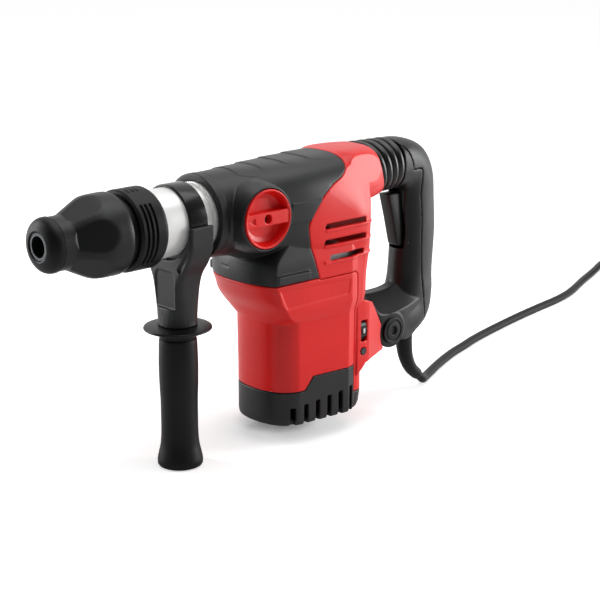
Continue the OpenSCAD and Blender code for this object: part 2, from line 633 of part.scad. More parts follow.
module lock_ring() color(rubber) difference() {
    turned([[ring_rear, spindle_r + fit], [boss_x, spindle_r + fit], [boss_x, cavity_r - run],
        [ring_front, cavity_r - run], [ring_front, ring_r - 1.5], [ring_front - 2, ring_r],
        [ring_rear + 3, ring_r],
        [ring_rear, ring_r - 2]]);
    for (i = [0:ring_pads - 1], x = groove_x)
        on_axis(x) rotate([0, 0, 90 + first_pad + pad_arc / 2 + 360 * i / ring_pads])
            rotate_extrude(angle = 360 / ring_pads - pad_arc)
                translate([ring_r - groove, 0]) square([cut, 2.2]);
}
sleeve_flats = 6;
flats_turn = 13;                       // first flat, from the left side upwards
flats_len = 50;
sleeve_rear = ring_front + release + 1;
sleeve_front = nose_x - nose_len - run;
sleeve_neck = nose_r - 0.4;
module release_sleeve() color(charcoal) difference() {
    intersection() {
        turned([[sleeve_rear, 0], [sleeve_front, 0], [sleeve_front, sleeve_neck],
            [sleeve_front - 12, sleeve_neck],
            [sleeve_rear + 38, sleeve_r - 7.3], [sleeve_rear + 30, sleeve_r - 3.3],
            [sleeve_rear + 21.5, sleeve_r - 0.3],
            [sleeve_rear + 3, sleeve_r], [sleeve_rear, sleeve_r - 0.8]]);
        union() {
            on_axis(sleeve_rear - 1) rotate([0, 0, flats_turn]) linear_extrude(flats_len, scale = 0.48)
                circle(r = sleeve_r * 1.42, $fn = sleeve_flats);
            on_axis(sleeve_rear - 1) cylinder(r = sleeve_neck + 0.5, h = 80);
        }
    }
    on_axis(sleeve_rear - 1) cylinder(r = cavity_r, h = boss_x + release - sleeve_rear + 1.5);
    on_axis(sleeve_rear - 1) cylinder(r = spindle_r + run, h = 90);
}

// Hammer, inside the spindle
piston_x = spindle_x + 20;
piston_len = 30;
pin_x = -wheel_off - crank_e;          // crank pin at rear dead centre
wrist_x = piston_x + 12;
wrist_r = 4;
slide_fit = 0.1;
module piston() color(steel) difference() {
    on_axis(piston_x) cylinder(r = bore_r - slide_fit, h = piston_len);
    on_axis(piston_x - 1) cylinder(r = bore_r - 4, h = 22);
    translate([wrist_x, 0, axis_h]) rotate([90, 0, 0]) cylinder(r = wrist_r + fit, h = cut, center = true);
}
rod_w = 5;
module conrod() color(steel) {
    translate([wrist_x, 0, axis_h]) rotate([90, 0, 0])
        cylinder(r = wrist_r, h = 2 * bore_r - 6, center = true);
    translate([pin_x, -rod_w, axis_h - rod_w]) cube([wrist_x - pin_x, 2 * rod_w, 2 * rod_w]);
    translate([pin_x, 0, axis_h - rod_w]) cylinder(r = 9, h = 2 * rod_w);
    translate([pin_x, 0, disc_z + disc_h + run])
        cylinder(r = 5, h = axis_h + rod_w - disc_z - disc_h - run + 3);
}
striker_x = piston_x + piston_len + stroke + 2;
striker_len = 36;
striker_travel = 12;
module striker() color(steel) on_axis(striker_x) cylinder(r = bore_r - slide_fit, h = striker_len);
anvil_travel = 6;
anvil_head = striker_x + striker_len + striker_travel + run;
module impact_bolt() color(steel) {
    on_axis(anvil_head) cylinder(r = bore_r - slide_fit, h = cyl_end - anvil_travel - run - anvil_head);
    on_axis(cyl_end - anvil_travel - run) cylinder(r = anvil_r, h = anvil_x - cyl_end);
}

module mode_knob() color(red) difference() {
    at_knob(knob_in) cylinder(r = knob_r, h = knob_out - knob_in);
    difference() {
        at_knob(knob_in + 2) cylinder(r = knob_r - 2, h = 40);
        translate([knob_x - cut, 0, axis_h - 1 - bar_h / 2]) cube([2 * cut, knob_out - 1, bar_h]);
    }
    at_knob(knob_out - 5) cylinder(r = 3.4, h = 20);
}
module knob_shaft() color(steel) at_knob(collar_r + 2) cylinder(r = stub_r, h = knob_in - collar_r - 2);

knurls = 20;
module speed_dial() color(black) difference() {
    translate(dial) rotate([0, 90, 0]) {
        translate([0, 0, -dial_w / 2]) cylinder(r = dial_r, h = dial_w);
        translate([0, 0, 0]) cylinder(r = 2.5, h = board_x + 1.5 - dial.x);
    }
    for (i = [0:knurls - 1]) translate(dial) rotate([360 * i / knurls, 0, 0])
        translate([0, dial_r, 0]) rotate([0, 90, 0]) cylinder(r = 0.7, h = 20, center = true);
}
board_x = -50.5;
module control_board() color("#3c5a3c") difference() {
    translate([board_x, 6.8 - flank_y, pivot_h - 15]) cube([2, 2 * flank_y - 13.6, 50]);
    translate([board_x - 1, dial.y, dial.z]) rotate([0, 90, 0]) cylinder(r = 2.5 + fit, h = 4);
}
module indicator_lens() color("#a8b4a8") translate(lens) rotate([90, 0, 0])
    cylinder(r = lens_r, h = 5, center = true);

// Side handle
side_low = axis_h - collar_r - strap_t;      // underside of the strap
tension_r = 5;
strap_in = collar_r + fit * 2;
strap_out = strap_in + strap_t;
boss_low = side_low - 12;
module clamp_strap() color(black) difference() {
    union() {
        on_axis(side_x - strap_w / 2) ring(strap_out, strap_in, strap_w);
        translate([side_x, 0, boss_low]) cylinder(r = 9, h = axis_h - boss_low - collar_r - 1);
    }
    on_axis(side_x - cut) cylinder(r = strap_in, h = 2 * cut);
    translate([side_x, 0, boss_low - 1]) cylinder(r = tension_r + fit, h = 14);
}
bracket_z = guard_h + run;
bracket_w = strap_out + 4.4;
bracket_l = 12.5;
module bracket_slice(z, lx, ly, r) translate([side_x, 0, z]) linear_extrude(slab) polygon([
    for (q = [0:3], p = arc([0, 0], r, 90 * q, 90 * q + 90, 5))
        p + [(q == 0 || q == 3 ? 1 : -1) * (lx - r), (q < 2 ? 1 : -1) * (ly - r)]]);
module clamp_bracket() color(black) difference() {
    union() {
        hull() {
            bracket_slice(axis_h, bracket_l, bracket_w, 2);
            bracket_slice(axis_h - 22, bracket_l, bracket_w - 1, 2);
        }
        hull() {
            bracket_slice(axis_h - 22, bracket_l, bracket_w - 1, 2);
            bracket_slice(axis_h - 60, 14, 19, 8);
        }
        hull() {
            bracket_slice(axis_h - 60, 14, 19, 8);
            bracket_slice(bracket_z, 16.5, 16.5, 16);
        }
    }
    on_axis(side_x - cut) cylinder(r = strap_out + 0.15, h = 2 * cut);
    translate([side_x, 0, boss_low - 0.2]) cylinder(r = 9.2, h = cut);
    translate([side_x, 0, 0]) cylinder(r = tension_r + run, h = axis_h);
}
guard_t = 4.5;
module hand_guard() color(black) difference() {
    translate([side_x, 0, guard_h - guard_t]) cylinder(r = guard_r, h = guard_t);
    translate([side_x, 0, 0]) cylinder(r = tension_r + fit, h = axis_h);
}
grip_low = guard_t - grip_len;               // end of the grip, from the guard's underside
grip_end_t = 12;                             // solid end of the grip
module grip_sleeve() color(rubber) translate([side_x, 0, guard_h - guard_t])
    rotate_extrude() polygon(concat(
    [[tension_r + fit, grip_low + grip_end_t], [tension_r + fit, 0], [grip_r + 0.6, 0], [grip_r + 0.6, -5],
        [grip_r - 2.5, -7], [grip_r - 2.5, -10]],
    curve([[grip_r + 0.4, -12], [grip_r + 1, 0.24 * grip_low], [grip_r, 0.515 * grip_low],
        [grip_r, 0.714 * grip_low], [grip_r + 1.4, 0.857 * grip_low], [grip_r + 3.7, 0.944 * grip_low]], 3),
    [[grip_r + 3.4, grip_low + 2], [grip_r + 1, grip_low], [0, grip_low], [0, grip_low + grip_end_t]]));
bolt_low = guard_h - grip_len + grip_end_t + 0.5;
module tension_bolt() color(steel) translate([side_x, 0, bolt_low])
    cylinder(r = tension_r, h = boss_low + 10 - bolt_low);

// Rear handle: stations along its middle line as x, z, direction, half depth, half width, squareness
arm_z = axis_h + (roof_h - 9) / 2;           // middle of the upper arm
arm_x = 127.5;                               // front end of the upper arm
arm_d = (roof_h + 9) / 2 - 1;
post = -post_x;
function handle_rows(e) = [
    [-arm_x - (e > 0 ? -1 : 0), arm_z, 180, arm_d - e, 26 - e, 2.6],
    [-141, arm_z - 1, 188, arm_d + 0.5 - e, 24.5 - e, 2.5],
    [mix(post, -141, 0.45), arm_z - 8, 212, arm_d + 1 - e, 22 - e, 2.4],
    [post + 3.5, arm_z - 22, 240, arm_d + 0.5 - e, 20 - e, 2.3],
    [post + 1.5, arm_z - 42, 260, post_a - e, post_b + 0.3 - e, 2.2],
    [post, arm_z - 71, 270, post_a - e, post_b - e, 2.2],
    [post + 2.5, pivot_h + 48, 272, post_a - e, post_b - e, 2.2],
    [post + 3.5, pivot_h + 32, 280, post_a + 1 - e, post_b + 1 - e, 2.3]];
function foot_rows(e) = [
    [post + 3.5, pivot_h + 32, 280, post_a + 1 - e, post_b + 1 - e, 2.3],
    [post + 7, pivot_h + 16, 300, post_a + 4 - e, post_b + 3 - e, 2.5],
    [post + 16, pivot_h + 8, 330, post_a + 4 - e, post_b + 6 - e, 3],
    [mix(post, -pivot_x, 0.62), pivot_h + 6, 360, 25 - e, cheek_w - 1.5 - e, 3.4],
    [-pivot_x, pivot_h, 360, arm_r - e, cheek_w - e, 5]];
module station(s) translate([s[0], 0, s[1]]) rotate([0, -s[2], 0])
    x_slab(0, oval(s[4], s[3], -s[3], s[5], 20));
module chain(rows) for (i = [0:len(rows) - 2]) hull() { station(rows[i]); station(rows[i + 1]); }
// Front edge of the cheeks, which follows the red arm's upper edge
saddle = [[-140, pivot_h + 34], [-pivot_x + 8, pivot_h + 34], [arm_top.x, pivot_h + 40],
    [arm_top.x, pivot_h + 38.5]];
module handle_solid() {
    chain(handle_rows(0));
    chain(foot_rows(0));
    at_pivot(-cheek_w, cheek_w, arm_r);
    side(-cheek_w + 1, cheek_w - 1) polygon(concat(saddle,
        arc(pivot, arm_r, 32, 0, 4), [[-140, pivot_h + 10]]));
}
module handle_hollow() {
    chain(handle_rows(wall));
    // Slot for the tongue of the lower arm
    at_pivot(-tongue_w - run, tongue_w + run, arm_r - 1.2);
    translate([-pivot_x, -tongue_w - run, pivot_h - 15]) cube([30, 2 * tongue_w + 2 * run, 32]);
    at_pivot(-cut, cut, bush_r + 2 * fit);
    // Cord's way through the foot
    translate([relief[0].x, 0, relief[0].z - 1]) cylinder(r = relief_r + seat, h = 30, $fn = 24);
    side(-trigger_w / 2 - run, trigger_w / 2 + run) polygon(trigger_slot);
    at_trigger_pin(pin_r + fit, trigger_w + 9);
}
split = curve([[-118, roof_rear + 12], [-122, roof_rear], [-133, axis_h + 31], [-140, axis_h + 17],
    [-142, axis_h + 11], [-152, axis_h + 10.5], [-157, axis_h + 6], [-157.5, axis_h - 16],
    [-160.5, axis_h - 40],
    [-160.7, pivot_h + 60], [-162.5, pivot_h + 28], [-166, 50], [-168, 0]], 3);
module back_region() polygon(concat(split, [[-260, 0], [-260, roof_rear + 12]]));
module handle_frame() color(black) difference() {
    handle_solid();
    handle_hollow();
    side(-cut, cut) offset(delta = seam / 2) back_region();
}
module handle_back() color(charcoal) difference() {
    intersection() {
        handle_solid();
        side(-cut, cut) offset(delta = -seam / 2) back_region();
    }
    handle_hollow();
}
module pivot_bushes() color(cast) for (y = [-cheek_w, tongue_w + run + 0.2])
    translate([-pivot_x, y + cheek_w - tongue_w - run - 0.2, pivot_h]) rotate([90, 0, 0])
        ring(bush_r, bolt_r + fit, cheek_w - tongue_w - run - 0.2);
pivot_cap_r = 13.5;
module pivot_bolt() color(black) {
    at_pivot(-cheek_w - 1, cheek_w + 1, bolt_r);
    for (s = [-1, 1]) scale([1, s, 1]) difference() {
        at_pivot(cheek_w + run, cheek_w + 2.8, pivot_cap_r);
        at_pivot(cheek_w + 1.6, cheek_w + 4, 5);
    }
}

// Trigger: pivots on a pin at its lower end
trigger_pin_at = [post + 16.5, axis_h - 64];
trigger_top = axis_h - 14;
trigger_low = axis_h - 68;
trigger_face = [[-118.5, trigger_top], [-131, trigger_low + 5], [-133, trigger_low + 1]];
trigger_slot = [[-108, trigger_top + 3], [-108, trigger_low], [-132, trigger_low - 1.5],
    [-151, trigger_low - 2.5],
    [-151, trigger_top + 3]];
pin_r = 2.5;
module trigger() color(black) difference() {
    side(-trigger_w / 2, trigger_w / 2) polygon(concat(trigger_face,
        arc(trigger_pin_at, 5, 270, 150, 6), [[-148, trigger_low + 16], [-141, trigger_top]]));
    at_trigger_pin(pin_r + fit, cut);
}
module at_trigger_pin(r, l) translate([trigger_pin_at.x, 0, trigger_pin_at.y]) rotate([90, 0, 0])
    cylinder(r = r, h = l, center = true);
module trigger_pin() color(steel) at_trigger_pin(pin_r, trigger_w + 8);
module switch_module() color(black) translate([-178, -11, axis_h - 52]) cube([26.5, 22, 38]);

// Bellows between the neck and the upper arm
bellows_l = arm_x - neck_x - 2 * run;
function rib_row(i, e) = let (t = i / (2 * bellows_ribs), deep = i % 2 == 0 ? 2.6 : 0)
    [-neck_x - run - bellows_l * t, mix(31, 26.5, t) - deep - e, roof_rear - mix(0, 1, t) - deep - e,
        neck_low + mix(0, 1, t) + deep + e, 2.7];
module bellows() color(rubber) difference() {
    x_loft([for (i = [0:2 * bellows_ribs]) rib_row(i, 0)]);
    x_loft([[-neck_x + 1, 24.5, roof_rear - 6, neck_low + 6, 2.7],
        [-arm_x - 1, 21, roof_rear - 7, neck_low + 7, 2.7]]);
}

// Cord: strain relief, free run, coil and plug. The floor is where the side grip ends.
floor_z = guard_h - grip_len;
cord_r = cord_d / 2;
relief = curve([[-156, 0, 43], [-157, 0, 30], [-160, 0, 16], [-167, 0, 3], [-178, 0, -7]], 2);
relief_r = 9;
module strain_relief() color(rubber) let (n = len(relief) - 1)
    tube(relief, [for (j = [0:n]) mix(relief_r, cord_r + 1.2, j / n)], 16);

// Middle line of the free run: x and y along the floor, height of the cord's middle above the floor
route = [[-178.3, 0, 14.5], [-183, 0, 10.8], [-188, -2, 7.7], [-200, -10, 5], [-226, -23, 4.5],
    [-255, -36, 4.5], [-283, -47, 4.5],
    [-312, -56, 4.5], [-340, -65, 4.5], [-384, -76, 4.5], [-440, -88, 4.5], [-490, -97, 4.5],
    [-533, -104, 4.5],
    [-573, -115, 4.5], [-625, -137, 4.5], [-675, -157, 4.5], [-707, -171, 4.5], [-745, -184, 4.8],
    [-780, -190, 6],
    [-793, -190, 6], [-806, -190, 6]];
floor_route = [for (p = route) [p.x, p.y, p.z + floor_z]];
module power_cord() color(rubber) tube(curve(floor_route, 3), cord_r, 8);

// Coil: spirals in and out through four layers, each climb in the half turn where the spiral reverses
layers = 4;
pitch = cord_d + coil_gap;
coil_out = coil_r + coil_turns * pitch;
coil_at = [-815, -190 + coil_out, floor_z + 6];
climb = 0.5;
span = coil_turns + climb;
coil_total = layers * coil_turns + (layers - 1) * climb;
tail_turns = 0.5;
tail_out = 1.5 * pitch;
plug_z = 14;
// Radius and height after u turns
function coil_state(u) = let (k = min(floor(u / span), layers - 1), v = u - k * span, inward = k % 2 == 0,
        edge = inward ? coil_out : coil_r, s = inward ? -1 : 1,
        t = v <= coil_turns ? 0 : (v - coil_turns) / climb)
    [edge + s * pitch * min(v, 2 * coil_turns + climb - v),
        pitch * (k + t)];
function coil_point(u) = let (
        past = max(0, u - coil_total) / tail_turns,
        state = coil_state(min(u, coil_total)),
        r = state[0] + tail_out * min(1, 2 * past),
        z = mix(state[1], plug_z - 6, max(0, 2 * past - 1)), a = -90 - 360 * u)
    coil_at + [r * cos(a), r * sin(a), z];
rings = 20;
coil_dir = -90 - 360 * (coil_total + tail_turns);
tangent = [sin(coil_dir), -cos(coil_dir), 0];
coil_end = coil_point(coil_total + tail_turns) + cord_d * tangent;
coil_path = concat([[coil_at.x + cord_d, coil_at.y - coil_out, coil_at.z]],
    [for (i = [0:ceil((coil_total + tail_turns) * rings)])
        coil_point(min(i / rings, coil_total + tail_turns))],
    [coil_end]);
// Least free distance between points half a turn or more apart along the coil
self_gap = min([for (i = [0:2:len(coil_path) - 1], j = [i + rings / 2:len(coil_path) - 1])
    norm(coil_path[i] - coil_path[j])]) - cord_d;
echo(coil_self_gap_mm = self_gap);
module cord_coil() color(rubber) tube(coil_path, cord_r, 6);
tie_t = 1;
tie_w = 14;
module cord_tie() color(charcoal)
    let (lo = coil_r - pitch / 4 - cord_r - run, hi = coil_out + pitch / 4 + cord_r + run,
        top = (layers - 1) * pitch + cord_r + run)
    translate([coil_at.x, coil_at.y, coil_at.z]) rotate([90, 0, 0]) translate([0, 0, -tie_w / 2])
        linear_extrude(tie_w) difference() {
            translate([lo - tie_t, -cord_r - run - tie_t])
                square([hi - lo + 2 * tie_t, top + cord_r + run + 2 * tie_t]);
            translate([lo, -cord_r - run]) square([hi - lo, top + cord_r + run]);
        }
module at_plug() translate(coil_end) rotate([0, 0, atan2(tangent.y, tangent.x)]) children();
module mains_plug() color(rubber) at_plug() {
    rotate([0, 90, 0]) cylinder(r1 = cord_r + 1, r2 = cord_r + 3, h = 14);
    hull() {
        translate([13, 0, 0]) rotate([0, 90, 0]) cylinder(r = cord_r + 3, h = 1, $fn = 32);
        for (s = [-1, 1]) translate([24, s * 5, 0]) rotate([0, 90, 0]) cylinder(r = 13, h = 20, $fn = 32);
    }
}
module plug_pins() color(silver) at_plug() for (s = [-1, 1]) translate([44, s * 9.5, 0]) rotate([0, 90, 0])
    cylinder(r = 2.4, h = 19);

gear_cover();
rear_cover();
motor_housing();
base_cap();
gear_case();
gear_plate();
neck_collar();
front_bearing();
front_seal();
stator_core();
field_windings();
motor_bearings();
brush_holders();
carbon_brushes();
gear_bearings();
control_board();
indicator_lens();
case_screws();
pivot_bolt();
bellows();
strain_relief();
power_cord();
cord_coil();
cord_tie();
mains_plug();
plug_pins();
handle_frame();
handle_back();
pivot_bushes();
switch_module();
trigger_pin();
trigger();
mode_knob();
knob_shaft();
speed_dial();
clamp_bracket();
clamp_strap();
hand_guard();
grip_sleeve();
tension_bolt();
spindle();
bevel_ring();
nose_cap();
lock_ring();
locking_bars();
release_sleeve();
armature_shaft();
pinion();
rotor_core();
commutator();
fan();
crankshaft();
crank_gear();
countershaft();
drive_gear();
bevel_pinion();
piston();
conrod();
striker();
impact_bolt();
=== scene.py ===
"""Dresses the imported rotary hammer: moulded housings, turned nose, handles, cord and studio.

All sizes are in millimetres in the part's own frame: +X forward along the tool axis, +Y to the
tool's left, +Z up, origin on the motor's axis under the base cap. mesh_object() turns them into
metres; camera, lamps and the cord's line do so where they are made.
"""

from __future__ import annotations

import logging
import math
from dataclasses import dataclass
from enum import Enum
from typing import Callable, Sequence

import bmesh
import bpy
from mathutils import Matrix, Vector

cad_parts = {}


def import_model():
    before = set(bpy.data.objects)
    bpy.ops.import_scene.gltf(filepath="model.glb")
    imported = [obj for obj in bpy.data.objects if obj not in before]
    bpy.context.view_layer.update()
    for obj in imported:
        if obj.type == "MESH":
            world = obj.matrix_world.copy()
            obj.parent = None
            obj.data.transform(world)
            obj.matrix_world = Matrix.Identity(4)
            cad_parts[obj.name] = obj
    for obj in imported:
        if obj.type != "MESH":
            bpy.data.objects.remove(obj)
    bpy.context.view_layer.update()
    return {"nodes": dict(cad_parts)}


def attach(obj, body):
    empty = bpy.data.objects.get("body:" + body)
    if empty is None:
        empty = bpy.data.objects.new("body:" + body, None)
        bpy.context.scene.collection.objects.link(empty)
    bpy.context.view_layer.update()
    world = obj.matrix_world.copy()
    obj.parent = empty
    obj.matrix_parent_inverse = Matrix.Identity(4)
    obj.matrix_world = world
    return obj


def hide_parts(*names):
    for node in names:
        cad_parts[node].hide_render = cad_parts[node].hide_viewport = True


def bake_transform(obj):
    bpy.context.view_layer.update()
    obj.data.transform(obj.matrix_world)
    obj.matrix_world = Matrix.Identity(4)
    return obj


log = logging.getLogger("rotary_hammer")

MM = 0.001
AXIS_H = 202.0        # tool axis above the base
FLOOR_Z = -21.8       # the surface that the side grip and the cord lie on
SEAM = 0.5            # open line between neighbouring mouldings
GRIP_X = 132.0        # side handle's axis in front of the motor's
LEAN = 0.25           # how far the bellows' front edge leans forward towards the top
LEAN_Z = 206.0        # height at which it starts
KNOB_AT = (68.4, 201.0)     # mode knob's axis, as x and z
PIVOT_AT = (-110.0, 60.0)   # rear handle's pivot, as x and z
ROUND_SHARE = 0.48    # most of an edge that one round takes up

Point2 = tuple[float, float]
Point3 = tuple[float, float, float]
Obj = bpy.types.Object
Socket = bpy.types.NodeSocket


class Cut(Enum):
    """How one solid works on another."""

    ADD = "UNION"
    REMOVE = "DIFFERENCE"
    KEEP = "INTERSECT"


class View(Enum):
    """The plane that an outline is drawn in."""

    SIDE = "x, z along y"
    PLAN = "x, y along z"
    FRONT = "y, z along x"


# Outlines and curves


def mix(a: float, b: float, t: float) -> float:
    """The value a share t of the way from a to b."""
    return a + (b - a) * t


def span(a: float, b: float) -> Point2:
    """Two places in rising order."""
    return (min(a, b), max(a, b))


def between(table: Sequence[Point2], x: float) -> float:
    """The value at x in a table of points joined by straight lines.

    Args:
        table: Points with rising x.
        x: Where to read it.

    Returns:
        The value, or the nearest end's value outside the table.
    """
    for (x0, y0), (x1, y1) in zip(table, table[1:]):
        if x <= x1:
            return mix(y0, y1, max(0.0, (x - x0) / (x1 - x0)))
    return table[-1][1]


def arc(centre: Point2, radius: float, start: float, end: float, steps: int) -> list[Point2]:
    """Points on a circular arc.

    Args:
        centre: Centre of the circle.
        radius: Its radius.
        start: First angle in degrees.
        end: Last angle in degrees.
        steps: Number of chords.

    Returns:
        steps + 1 points.
    """
    angles = [math.radians(mix(start, end, i / steps)) for i in range(steps + 1)]
    return [(centre[0] + radius * math.cos(a), centre[1] + radius * math.sin(a)) for a in angles]


def curve(rows: Sequence[Sequence[float]], steps: int = 6) -> list[tuple[float, ...]]:
    """A smooth curve through rows of numbers, as points or as a loft's measures.

    Args:
        rows: Rows to pass through, all of one length.
        steps: Steps between two rows.

    Returns:
        The rows of the curve, the given ones among them.
    """
    out = []
    last = len(rows) - 1
    for i in range(last):
        before, a, b, after = rows[max(i - 1, 0)], rows[i], rows[i + 1], rows[min(i + 2, last)]
        for j in range(steps):
            t = j / steps
            out.append(tuple(
                (2 * q + (r - p) * t + (2 * p - 5 * q + 4 * r - s) * t * t
                 + (3 * q - p - 3 * r + s) * t ** 3) / 2
                for p, q, r, s in zip(before, a, b, after)))
    out.append(tuple(rows[last]))
    return out


def straight(rows: Sequence[Sequence[float]], steps: int = 4) -> list[tuple[float, ...]]:
    """Rows joined by straight lines, with steps between them.

    Args:
        rows: Rows to join, all of one length.
        steps: Steps between two rows.

    Returns:
        The rows, as curve() gives them.
    """
    return [tuple(mix(p, q, j / steps) for p, q in zip(a, b))
            for a, b in zip(rows, rows[1:]) for j in range(steps)] + [tuple(rows[-1])]


def rounded(corners: Sequence[Sequence[float]], closed: bool = False,
            steps: int = 5) -> list[Point2]:
    """Rounds the corners of an outline.

    Args:
        corners: Points as x, y or as x, y, radius.
        closed: Whether the last point joins the first.
        steps: Chords in each round.

    Returns:
        The outline's points.
    """
    out: list[Point2] = []
    n = len(corners)
    for i, corner in enumerate(corners):
        radius = corner[2] if len(corner) > 2 else 0.0
        here = Vector(corner[:2])
        if radius <= 0 or (not closed and i in (0, n - 1)):
            out.append((here.x, here.y))
            continue
        to_last = Vector(corners[i - 1][:2]) - here
        to_next = Vector(corners[(i + 1) % n][:2]) - here
        turn = to_last.angle(to_next, math.pi)
        room = ROUND_SHARE * min(to_last.length, to_next.length)
        reach = min(radius / max(math.tan(turn / 2), 1e-3), room)
        a, b = here + to_last.normalized() * reach, here + to_next.normalized() * reach
        for j in range(steps + 1):
            t = j / steps
            p = a * (1 - t) ** 2 + here * 2 * t * (1 - t) + b * t * t
            out.append((p.x, p.y))
    return out


def grown(outline: Sequence[Point2], by: float) -> list[Point2]:
    """A closed outline moved outwards.

    Args:
        outline: Its points, in either direction.
        by: Distance, negative to move it inwards.

    Returns:
        As many points.
    """
    n = len(outline)
    area = sum(outline[i - 1][0] * outline[i][1] - outline[i][0] * outline[i - 1][1]
               for i in range(n))
    by = by if area > 0 else -by
    out = []
    for i in range(n):
        here = Vector(outline[i])
        before = (here - Vector(outline[i - 1])).normalized()
        after = (Vector(outline[(i + 1) % n]) - here).normalized()
        normal = Vector((before.y + after.y, -before.x - after.x))
        if normal.length < 1e-6:
            out.append((here.x, here.y))
            continue
        normal.normalize()
        slope = max(0.4, normal.dot(Vector((after.y, -after.x))))
        out.append((here.x + normal.x * by / slope, here.y + normal.y * by / slope))
    return out


def oval(half_width: float, top: float, bottom: float, square: float,
         count: int) -> list[Point2]:
    """A closed oval between round and rectangular.

    Args:
        half_width: Half of its width.
        top: Its highest point.
        bottom: Its lowest point.
        square: 2 for an ellipse, more for squarer corners.
        count: Number of points.

    Returns:
        Points as width and height.
    """
    out = []
    for i in range(count):
        a = 2 * math.pi * (i + 0.5) / count
        c, s = (math.copysign(abs(v) ** (2 / square), v) for v in (math.cos(a), math.sin(a)))
        out.append((half_width * c, (top + bottom) / 2 + (top - bottom) / 2 * s))
    return out


# Meshes


def mesh_object(name: str, points: Sequence[Point3], faces: Sequence[Sequence[int]]) -> Obj:
    """Makes a mesh object from points in millimetres.

    Args:
        name: Name of the piece.
        points: Vertices in the part's frame.
        faces: Faces as lists of vertex numbers.

    Returns:
        The object, linked to the scene, with its faces pointing outwards.
    """
    mesh = bpy.data.meshes.new(name)
    mesh.from_pydata([Vector(p) * MM for p in points], [], faces)
    work = bmesh.new()
    work.from_mesh(mesh)
    bmesh.ops.remove_doubles(work, verts=work.verts, dist=1e-7)
    bmesh.ops.recalc_face_normals(work, faces=work.faces)
    work.to_mesh(mesh)
    work.free()
    obj = bpy.data.objects.new(name, mesh)
    bpy.context.scene.collection.objects.link(obj)
    return obj


def skin(name: str, rings: Sequence[Sequence[Point3]], looped: bool = False) -> Obj:
    """A closed surface through rings of equal length.

    Args:
        name: Name of the piece.
        rings: Closed rings of points, in order.
        looped: Whether the last ring joins the first; otherwise both ends are capped.

    Returns:
        The object.
    """
    n, count = len(rings[0]), len(rings)
    faces = [[i * n + k, i * n + (k + 1) % n,
              (i + 1) % count * n + (k + 1) % n, (i + 1) % count * n + k]
             for i in range(count if looped else count - 1) for k in range(n)]
    if not looped:
        faces += [list(range(n)), list(range((count - 1) * n, count * n))]
    return mesh_object(name, [p for ring in rings for p in ring], faces)


def prism(name: str, view: View, outline: Sequence[Point2], low: float, high: float) -> Obj:
    """An outline pushed square to the plane that it is drawn in.

    Args:
        name: Name of the piece.
        view: The plane.
        outline: Closed outline in that plane.
        low: Where the solid starts.
        high: Where it ends.

    Returns:
        The object.
    """
    place: Callable[[Point2, float], Point3] = {
        View.SIDE: lambda p, d: (p[0], d, p[1]),
        View.PLAN: lambda p, d: (p[0], p[1], d),
        View.FRONT: lambda p, d: (d, p[0], p[1]),
    }[view]
    return skin(name, [[place(p, d) for p in outline] for d in (low, high)])


def box(name: str, low: Point3, high: Point3) -> Obj:
    """A block between two corners."""
    outline = [(low[0], low[1]), (high[0], low[1]), (high[0], high[1]), (low[0], high[1])]
    return prism(name, View.PLAN, outline, low[2], high[2])


def hole(name: str, at: Point3, radius: float, length: float) -> Obj:
    """A round cutter along +Y from a point."""
    return prism(name, View.SIDE, arc((at[0], at[2]), radius, 0, 345, 23), at[1], at[1] + length)


def post(name: str, at: Point3, radius: float, height: float) -> Obj:
    """A round post that stands on a point."""
    return prism(name, View.PLAN, arc((at[0], at[1]), radius, 0, 352.5, 47), at[2], at[2] + height)


class Lathe(Enum):
    """The lines that round pieces turn about."""

    TOOL = "tool axis"
    GRIP = "side handle's axis"
    KNOB = "mode knob's axis"
    PIVOT = "rear handle's pivot"

    def at(self, along: float, angle: float, radius: float) -> Point3:
        """A point of a turned piece.

        Args:
            along: Place along the axis.
            angle: Angle about it, in radians.
            radius: Distance from it.

        Returns:
            The point in the part's frame.
        """
        c, s = radius * math.cos(angle), radius * math.sin(angle)
        if self is Lathe.TOOL:
            return (along, c, AXIS_H + s)
        if self is Lathe.GRIP:
            return (GRIP_X + c, s, along)
        x, z = KNOB_AT if self is Lathe.KNOB else PIVOT_AT
        return (x + c, along, z + s)


def turned(name: str, axis: Lathe, profile: Sequence[Point2], segments: int = 128,
           ring: bool = False, shape: Callable[[float, float, float], float] | None = None) -> Obj:
    """A turned piece.

    Args:
        name: Name of the piece.
        axis: The line that it turns about.
        profile: Points as place along the axis and radius.
        segments: Steps round the axis.
        ring: Whether the profile closes on itself, so that the piece has a bore.
        shape: Gives the radius at a place, an angle and the profile's radius.

    Returns:
        The object.
    """
    angles = [2 * math.pi * k / segments for k in range(segments)]
    rings = [[axis.at(a, t, shape(a, t, r) if shape else r) for t in angles] for a, r in profile]
    return skin(name, rings, looped=ring)


def bake(obj: Obj) -> Obj:
    """Turns an object's modifiers into its mesh.

    Args:
        obj: The object.

    Returns:
        The same object.
    """
    graph = bpy.context.evaluated_depsgraph_get()
    mesh = bpy.data.meshes.new_from_object(obj.evaluated_get(graph))
    old = obj.data
    obj.modifiers.clear()
    obj.data = mesh
    bpy.data.meshes.remove(old)
    return obj


def carve(obj: Obj, how: Cut, *tools: Obj) -> Obj:
    """Works one or more solids on an object, which are used up.

    Args:
        obj: The solid that changes.
        how: Adds, removes or keeps the common part.
        tools: The solids to work with.

    Returns:
        The changed object.
    """
    for tool in tools:
        step = obj.modifiers.new("carve", "BOOLEAN")
        step.object, step.operation, step.solver = tool, how.value, "MANIFOLD"
        bake(obj)
        mesh = tool.data
        bpy.data.objects.remove(tool)
        bpy.data.meshes.remove(mesh)
    return obj


